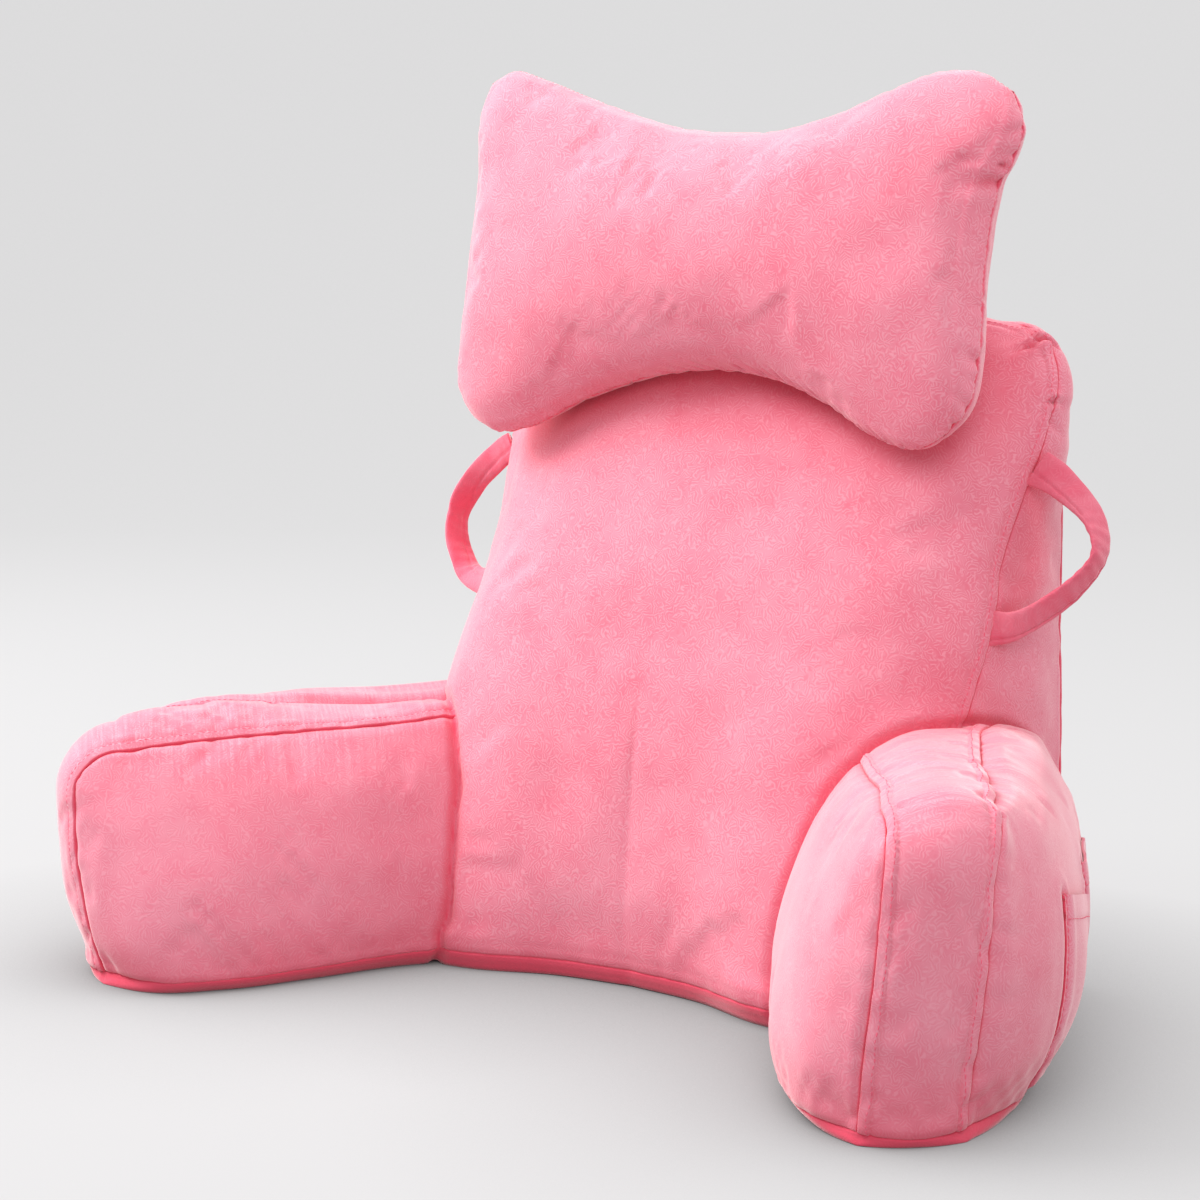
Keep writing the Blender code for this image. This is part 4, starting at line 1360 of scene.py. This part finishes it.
neck_cover = sewn(neck_grids)
neck_relief, neck_closest = sewing_relief(neck_cover, neck_seams, NECK_SEWINGS)
neck_relief += uneven(neck_cover.points, neck_closest, 5) + creased(neck_cover.points, NECK_CREASES)
neck_cover = raised(neck_cover, neck_relief)
heights, nearest, normals = signed_heights(cover_tree(backrest_cover), neck_cover.points)
leaning = heights < TOUCH
flattened = neck_cover.points.copy()
flattened[leaning] = nearest[leaning] + normals[leaning] * TOUCH
neck_cover = neck_cover._replace(points=flattened)
neck_pillow = soft_piece("neck_cushion", neck_cover, neck_closest, neck_velour, neck_relief)
print("neck pillow leans on the backrest with", int(leaning.sum()), "points")

# %% [markdown]
# ## Top-stitching
#
# Stitches repeat along a path, so Geometry Nodes make them. The path is read from the finished
# cover at the felled seam's width. One tree turns it into evenly spaced points, puts a thread
# stitch on each, laid along the path, and makes them real. Its sizes are inputs.

# %% A tree that sews along a path
Socket = namedtuple("Socket", "name kind default")
STITCH_INPUTS = table(Socket, (
    ("Path", "Geometry", None),
    ("Pitch", "Float", STITCH_PITCH),
    ("Length", "Float", 0.0032),
    ("Thickness", "Float", 0.00075),
    ("Seed", "Int", 1),
    ("Thread", "Material", None),
))
SIZE_SPREAD = (0.8, 1.12)
NECK_THREAD = 0.0007


def stitch_tree():
    tree = bpy.data.node_groups.new("top_stitch", "GeometryNodeTree")
    for name, kind, default in STITCH_INPUTS:
        entry = tree.interface.new_socket(name, in_out="INPUT", socket_type="NodeSocket" + kind)
        if default is not None:
            entry.default_value = default
    tree.interface.new_socket("Stitches", in_out="OUTPUT", socket_type="NodeSocketGeometry")
    given = tree.nodes.new("NodeGroupInput")
    result = tree.nodes.new("NodeGroupOutput")
    path = linked(tree, "GeometryNodeMeshToCurve", {"Mesh": given.outputs["Path"]})
    spots = linked(tree, "GeometryNodeCurveToPoints", {
        "Curve": path.outputs["Curve"], "Length": given.outputs["Pitch"]}, mode="LENGTH")
    bead = linked(tree, "GeometryNodeMeshUVSphere", {"Segments": 8, "Rings": 6, "Radius": 0.5})
    size = linked(tree, "ShaderNodeCombineXYZ", {"X": given.outputs["Thickness"],
                                                 "Y": given.outputs["Thickness"],
                                                 "Z": given.outputs["Length"]})
    thread_stitch = linked(tree, "GeometryNodeTransform", {"Geometry": bead.outputs["Mesh"],
                                                           "Scale": size.outputs["Vector"]})
    change = linked(tree, "FunctionNodeRandomValue", {"Seed": given.outputs["Seed"]},
                    data_type="FLOAT")
    limits = [entry for entry in change.inputs if entry.type == "VALUE" and entry.enabled]
    for entry, value in zip(limits, SIZE_SPREAD):
        entry.default_value = value
    chosen = next(entry for entry in change.outputs if entry.enabled)
    laid = linked(tree, "GeometryNodeInstanceOnPoints", {
        "Points": spots.outputs["Points"], "Instance": thread_stitch.outputs["Geometry"],
        "Rotation": spots.outputs["Rotation"], "Scale": chosen})
    real = linked(tree, "GeometryNodeRealizeInstances", {"Geometry": laid.outputs["Instances"]})
    smooth_faces = linked(tree, "GeometryNodeSetShadeSmooth",
                          {"Geometry": real.outputs["Geometry"]})
    painted = linked(tree, "GeometryNodeSetMaterial", {"Geometry": smooth_faces.outputs["Geometry"],
                                                       "Material": given.outputs["Thread"]})
    tree.links.new(painted.outputs["Geometry"], result.inputs["Stitches"])
    return tree


def grown(name, source_mesh, tree, values):
    """A plain mesh piece made by a Geometry Nodes tree from a source mesh."""
    work = in_scene(name + "_source", source_mesh)
    grow = work.modifiers.new("grow", "NODES")
    grow.node_group = tree
    for entry in tree.interface.items_tree:
        if entry.item_type == "SOCKET" and entry.in_out == "INPUT" and entry.name in values:
            grow[entry.identifier] = values[entry.name]
    bpy.context.view_layer.update()
    graph = bpy.context.evaluated_depsgraph_get()
    mesh = bpy.data.meshes.new_from_object(work.evaluated_get(graph))
    bpy.data.objects.remove(work, do_unlink=True)
    mesh.name = name
    print(name, len(mesh.polygons), "faces")
    return in_scene(name, mesh)


top_stitch = stitch_tree()

# %% Stitch paths beside the seams
def beside(grid, edge, depth, others=()):
    """The line that runs inside a panel at a depth from one of its edges. Edge is 0 or -1 of the
    grid's second direction; the other edges named are kept clear by the same depth."""
    turned = grid if edge == 0 else grid[:, ::-1]
    steps = np.linalg.norm(np.diff(turned, axis=1), axis=2)
    depths = np.concatenate((np.zeros((len(turned), 1)), np.cumsum(steps, axis=1)), axis=1)
    line = np.array([[np.interp(depth, depths[row], turned[row, :, axis]) for axis in range(3)]
                     for row in range(len(turned))])
    runs = run_lengths(turned[:, 0])
    keep = np.ones(len(line), bool)
    if "start" in others:
        keep &= runs >= depth
    if "end" in others:
        keep &= runs[-1] - runs >= depth
    return line[keep]


def paths_mesh(name, paths):
    points = np.concatenate(paths) + ROW_SHIFT
    edges = []
    start = 0
    for path in paths:
        edges += [(number, number + 1) for number in range(start, start + len(path) - 1)]
        start += len(path)
    mesh = bpy.data.meshes.new(name)
    mesh.from_pydata(points.tolist(), edges, [])
    return mesh


def read_back(cover):
    return [cover.points[ids] for ids in cover.ids]


def stitched_along(name, paths, seed, **sizes):
    return grown(name + "_stitches", paths_mesh(name + "_paths", paths), top_stitch,
                 {"Thread": seam_thread, "Seed": seed, **sizes})


backrest_paths = []
for panel in read_back(backrest_cover)[: REAR + 1]:
    turned = np.swapaxes(panel, 0, 1)
    backrest_paths += [beside(turned, edge, BAND_WIDTH, ("end",)) for edge in (0, -1)]
    backrest_paths.append(beside(panel, -1, BAND_WIDTH, ("start", "end")))
backrest_stitches = stitched_along("backrest", backrest_paths, 11)

arm_stitches = {}
for arm, seed in (("arm_left", 12), ("arm_right", 13)):
    band = read_back(arm_covers[arm][0])[BAND]
    outside = band[len(ARM_FINE.vs) + 6:]
    paths = [beside(outside, edge, BAND_WIDTH) for edge in (0, -1)]
    arm_stitches[arm] = stitched_along(arm, paths, seed)

neck_front = read_back(neck_cover)[0]
neck_paths = [beside(grid, edge, EDGE_STITCH)
              for grid in (neck_front, np.swapaxes(neck_front, 0, 1)) for edge in (0, -1)]
neck_stitches = stitched_along("neck", neck_paths, 14, Thickness=NECK_THREAD)

# %% [markdown]
# ## Strap handles
#
# Each handle is a strip of the same velour folded lengthwise and stitched, with both ends caught
# in a side seam. The loop twists as it stands out, so the wide face shows at the top and the edge
# at its outermost point. The section is swept along the bends of the table, and the folded edge
# is a fine groove along the strap.

# %% Handles
Bend = namedtuple("Bend", "up reach back turn width")
HANDLE_MIDDLE = (0.2436, 0.1595, 0.338)
HANDLE_SEAM = (0.078, 0.402, 0.912)
RIGHT_BENDS = table(Bend, (
    (0.0640, 0.000, 0.000, 0.0, 0.029),
    (0.0565, 0.020, 0.003, 17.0, 0.027),
    (0.0383, 0.046, 0.016, 45.0, 0.025),
    (0.0130, 0.058, 0.021, 72.0, 0.024),
    (-0.0125, 0.048, 0.022, 101.0, 0.023),
    (-0.0379, 0.028, 0.019, 130.0, 0.021),
    (-0.0554, 0.014, 0.008, 156.0, 0.022),
    (-0.0625, -0.003, 0.000, 180.0, 0.028),
))
LEFT_BENDS = table(Bend, (
    (0.0600, -0.006, 0.000, 0.0, 0.026),
    (0.0505, 0.008, 0.002, -16.0, 0.025),
    (0.0340, 0.035, 0.012, -50.0, 0.022),
    (0.0120, 0.054, 0.022, -85.0, 0.027),
    (-0.0135, 0.051, 0.022, -115.0, 0.028),
    (-0.0389, 0.035, 0.020, -133.0, 0.023),
    (-0.0532, 0.017, 0.012, -160.0, 0.021),
    (-0.0630, -0.010, 0.000, -180.0, 0.024),
))
STRAP_THICKNESS = 0.006
STRAP_STEPS = 220
STRAP_ROUND = 64
STRAP_SQUARENESS = 0.75
STRAP_WRINKLES = 7
WRINKLE_SHARE = 0.45
FOLD_GROOVE = 0.0012
FOLD_WIDTH = 0.0008
Fold = namedtuple("Fold", "first last place drift")
RIGHT_FOLDS = table(Fold, ((-0.10, 0.32, -0.14, -1.0), (0.42, 1.10, 0.33, 0.0)))
LEFT_FOLDS = table(Fold, ((-0.10, 1.10, -0.17, 0.0),))


def folds_relief(at, across, width, folds):
    """Fine grooves along the strap, where its folded edges lie on one another."""
    relief = np.zeros(across.shape)
    for fold in folds:
        line = (fold.place + fold.drift * np.maximum(at - fold.first - 0.1, 0.0)) * width
        shown = np.clip(np.minimum(at - fold.first, fold.last - at) / 0.06, 0.0, 1.0)
        relief -= FOLD_GROOVE * shown[:, None] * bell(across - line[:, None], FOLD_WIDTH)
    return relief


def strap_cover(side, seed, bends, folds):
    middle = np.array(HANDLE_MIDDLE)
    seam = np.array(HANDLE_SEAM)
    seam = seam / np.linalg.norm(seam)
    reach = np.array((1.0, 0.0, 0.0))
    reach = reach - seam * reach.dot(seam)
    reach = reach / np.linalg.norm(reach)
    back = np.cross(seam, reach)
    stations = np.linspace(0.0, 1.0, len(bends))
    at = np.linspace(0.0, 1.0, STRAP_STEPS + 1)
    up, out, behind, turn, width = (smooth(stations, column(bends, key), at)
                                    for key in ("up", "reach", "back", "turn", "width"))
    path = middle + up[:, None] * seam + out[:, None] * reach + behind[:, None] * back
    heading = unit(np.gradient(path, axis=0))
    angle = np.radians(turn)[:, None]
    wide = np.cos(angle) * seam + np.sin(angle) * back
    wide = unit(wide - heading * np.sum(wide * heading, axis=1, keepdims=True))
    thick = np.cross(heading, wide)
    around = np.linspace(0.0, 2 * pi, STRAP_ROUND + 1)
    rim, bulge = (np.sign(part) * np.abs(part) ** STRAP_SQUARENESS
                  for part in (np.cos(around), np.sin(around)))
    across = rim[None] * (width / 2)[:, None]
    chance = np.random.default_rng(seed)
    wrinkles = sum(chance.uniform(0.4, 1.0) * np.sin(at[:, None] * chance.uniform(40, 130)
                   + across / width[:, None] * chance.uniform(-5, 5) + chance.uniform(0, 6))
                   for _ in range(STRAP_WRINKLES)) / STRAP_WRINKLES
    bent = np.sin(pi * at)[:, None] ** 0.7
    half = (STRAP_THICKNESS / 2) * bulge[None] * (1.0 + WRINKLE_SHARE * wrinkles * bent)
    half += np.sign(bulge)[None] * folds_relief(at, across, width, folds)
    rings = path[:, None] + wide[:, None] * across[..., None] + thick[:, None] * half[..., None]
    rings[:, -1] = rings[:, 0]
    rings = rings * np.array((side, 1.0, 1.0))
    caps = [np.stack((ring, np.broadcast_to(ring[:-1].mean(axis=0), ring.shape)))
            for ring in (rings[0], rings[-1])]
    return sewn([rings, *caps])


handles = {}
for handle, side, seed, bends, folds in (("handle_left", -1.0, 31, LEFT_BENDS, LEFT_FOLDS),
                                         ("handle_right", 1.0, 32, RIGHT_BENDS, RIGHT_FOLDS)):
    cover = strap_cover(side, seed, bends, folds)
    no_seam = np.full(len(cover.points), FAR)
    handles[handle] = soft_piece(handle + "_strap", cover, no_seam, strap_shaded_velour)

# %% [markdown]
# ## Patch pockets
#
# Two patches of the same cloth are stitched on the right arm's outer panel, open at the top. Each
# is read from the finished panel, so it follows the arm's swell, and stands half a millimetre off
# it. The top is folded over into a hem and gapes a little more.

# %% Pockets
POCKET_THICKNESS = 0.0016
POCKET_LIFT = 0.0005
POCKET_GAPE = 0.0004
POCKET_GAPES_TO = 0.030
POCKET_SLACK = 0.0008
POCKET_SEAM = 0.0028
HEM = 0.016
HEM_RISE = 0.0004
HEM_GROOVE = 0.0003


def pocket_cover(patch, panel):
    across = sewing_shares(0.09, 0.0016, 0.006)[:, None]
    up = sewing_shares(0.13, 0.0018, 0.006)[None, :]
    under = read_at(panel, (ARM_FINE.us, ARM_FINE.vs), *patch_shares(patch, across, up))
    away = -facing(under)
    wide = np.linalg.norm(np.diff(under, axis=0), axis=2).sum(axis=0)
    tall = np.linalg.norm(np.diff(under, axis=1), axis=2).sum(axis=1)
    size = float(wide.mean()), float(tall.mean())
    side = np.minimum(across, 1.0 - across) * wide[None, :]
    down = (1.0 - up) * tall[:, None]
    gape = POCKET_GAPE * np.sin(pi * across) ** 0.8 * bell(down, POCKET_GAPES_TO)
    slack = POCKET_SLACK * np.sin(pi * across) * np.sin(pi * up)
    hem = HEM_RISE / (1 + np.exp((down - HEM) / SHARP_EDGE)) - HEM_GROOVE * bell(down - HEM, 0.0009)
    stitched = -0.0006 * bell(side - POCKET_SEAM, 0.0010)
    lift = POCKET_LIFT + gape + slack
    inner = under + away * lift[..., None]
    outer = under + away * (lift + POCKET_THICKNESS + hem + stitched)[..., None]
    edges = [np.stack((outer[0], inner[0])), np.stack((inner[-1], outer[-1])),
             np.stack((inner[:, 0], outer[:, 0])), np.stack((outer[:, -1], inner[:, -1]))]
    cover = sewn([outer, inner, *edges])
    closest = np.full(len(cover.points), FAR)
    # Painted shade along the stitch lines and hem, and all over the side edges.
    closest[cover.ids[0]] = np.minimum(side * 0.7, np.abs(down - HEM) + 0.0010)
    for ids in cover.ids[2:4]:
        closest[ids] = 0.0
    return cover, closest, outer, size


arm_outer = read_back(arm_covers["arm_right"][0])[REAR]
pockets = {}
for patch in POCKETS:
    cover, closest, outer, size = pocket_cover(patch, arm_outer)
    piece = soft_piece(patch.node + "_patch", cover, closest, pocket_velour)
    turned = np.swapaxes(outer, 0, 1)
    paths = [beside(turned, edge, POCKET_SEAM) for edge in (0, -1)] + [beside(outer, -1, HEM)]
    pockets[patch.node] = (piece, stitched_along(patch.node, paths, 17), size)
    print(patch.node, "is", [round(value, 3) for value in size], "m")

# %% [markdown]
# ## Floor, backdrop and light
#
# One pale sheet runs along the floor and up behind the pillow, as in a studio, so no horizon
# shows. It glows a little, which is painted light standing for paper lit from everywhere, and an
# ambient occlusion paints the pillow's shadow into that glow. Two large soft lights from the upper
# left, one of them from behind, model the cushions. Three weaker ones, from above, from the right
# and from the front, and an even pale surround open the shadows.

# %% Stage
PAPER_FINISH = {"Base Color": (0.09, 0.088, 0.089, 1.0), "Roughness": 0.9,
                "Specular IOR Level": 0.1, "Emission Color": (1.0, 0.995, 1.0, 1.0)}
FLOOR_GLOW = 0.650
OPEN_REACH = 0.30
SHEET_SIDE = 7.0
SHEET_FRONT = -6.0
SHEET_BACK = 3.2
SHEET_BEND = 1.6
SHEET_TOP = 6.0
BELOW_FLOOR = 0.0002
CAMERA_LEFT = np.array((-cos(CAMERA_HEADING), -sin(CAMERA_HEADING), 0.0))
CAMERA_FRONT = np.array((sin(CAMERA_HEADING), -cos(CAMERA_HEADING), 0.0))
UP = np.array((0.0, 0.0, 1.0))
Lamp = namedtuple("Lamp", "name left front up size power")
LAMPS = table(Lamp, (
    ("key", 2.4, 0.0, 2.5, 1.6, 101.0),
    ("rim", 2.0, -1.5, 2.0, 1.6, 72.0),
    ("top", 0.0, 0.0, 3.0, 1.8, 28.0),
    ("fill", -2.4, 0.0, 2.2, 2.2, 36.0),
    ("front", 0.0, 2.6, 2.0, 1.8, 38.0),
))
LIT_PLACE = (0.0, 0.0, 0.3)
SURROUND = 0.40
SURROUND_TINT = (0.97, 0.98, 1.0, 1.0)


def add_stage():
    material, tree, shader = new_material("studio_paper", PAPER_FINISH)
    # Painted light: the sheet glows for the light that falls on it, and ambient occlusion paints the
    # pillow's shadow into that glow.
    open_part = linked(tree, "ShaderNodeAmbientOcclusion", {"Distance": OPEN_REACH}, samples=8)
    glow = arithmetic(tree, "MULTIPLY", open_part.outputs["AO"], FLOOR_GLOW)
    tree.links.new(glow, shader.inputs["Emission Strength"])
    angles = np.linspace(0.0, pi / 2, 24)
    bend = [(SHEET_BACK + SHEET_BEND * sin(a), SHEET_BEND - SHEET_BEND * cos(a)) for a in angles]
    profile = [(SHEET_FRONT, 0.0), *bend, (SHEET_BACK + SHEET_BEND, SHEET_TOP)]
    points = [(-CAMERA_FRONT * away - CAMERA_LEFT * side + UP * (height - BELOW_FLOOR)).tolist()
              for away, height in profile for side in (-SHEET_SIDE, SHEET_SIDE)]
    faces = [(2 * n, 2 * n + 1, 2 * n + 3, 2 * n + 2) for n in range(len(profile) - 1)]
    mesh = bpy.data.meshes.new("studio_sheet")
    mesh.from_pydata(points, [], faces)
    mesh.shade_smooth()
    mesh.materials.append(material)
    sheet = in_scene("studio_sheet", mesh)


def add_lamp(lamp):
    light = bpy.data.lights.new(lamp.name, "AREA")
    light.size = lamp.size
    light.energy = lamp.power
    stand = in_scene(lamp.name, light)
    place = Vector(lamp.left * CAMERA_LEFT + lamp.front * CAMERA_FRONT + lamp.up * UP)
    stand.location = place
    stand.rotation_euler = (Vector(LIT_PLACE) - place).to_track_quat("-Z", "Y").to_euler()


def even_tones():
    """A plain transfer of light to the picture, so that pinks stay as clear as they are."""
    bpy.context.scene.view_settings.view_transform = "Standard"
    bpy.context.scene.view_settings.look = "None"


def add_surround(strength):
    world = bpy.data.worlds.new("studio")
    world.use_nodes = True
    background = world.node_tree.nodes["Background"]
    background.inputs["Color"].default_value = SURROUND_TINT
    background.inputs["Strength"].default_value = strength
    bpy.context.scene.world = world


add_stage()
even_tones()
for lamp in LAMPS:
    add_lamp(lamp)
add_surround(SURROUND)

# %% [markdown]
# ## What stands for what
#
# Last, each piece and its stitches ride on the root body, and the solid each piece stands for is
# hidden.

# %% Pieces on the root body
PIECES = {
    "backrest": (backrest, [backrest_stitches], "velour", 0.85),
    "arm_left": (arms["arm_left"], [arm_stitches["arm_left"]], "velour", 0.85),
    "arm_right": (arms["arm_right"], [arm_stitches["arm_right"]], "velour", 0.85),
    "neck_pillow": (neck_pillow, [neck_stitches], "velour", 0.8),
    "handle_left": (handles["handle_left"], [], "strap", None),
    "handle_right": (handles["handle_right"], [], "strap", None),
    "pocket_small": (pockets["pocket_small"][0], [pockets["pocket_small"][1]], "velour", None),
    "pocket_large": (pockets["pocket_large"][0], [pockets["pocket_large"][1]], "velour", None),
}
for node, (piece, sewing, slot, fill) in PIECES.items():
    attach(piece, "root")
    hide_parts(node)
    for stitches in sewing:
        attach(stitches, "root")
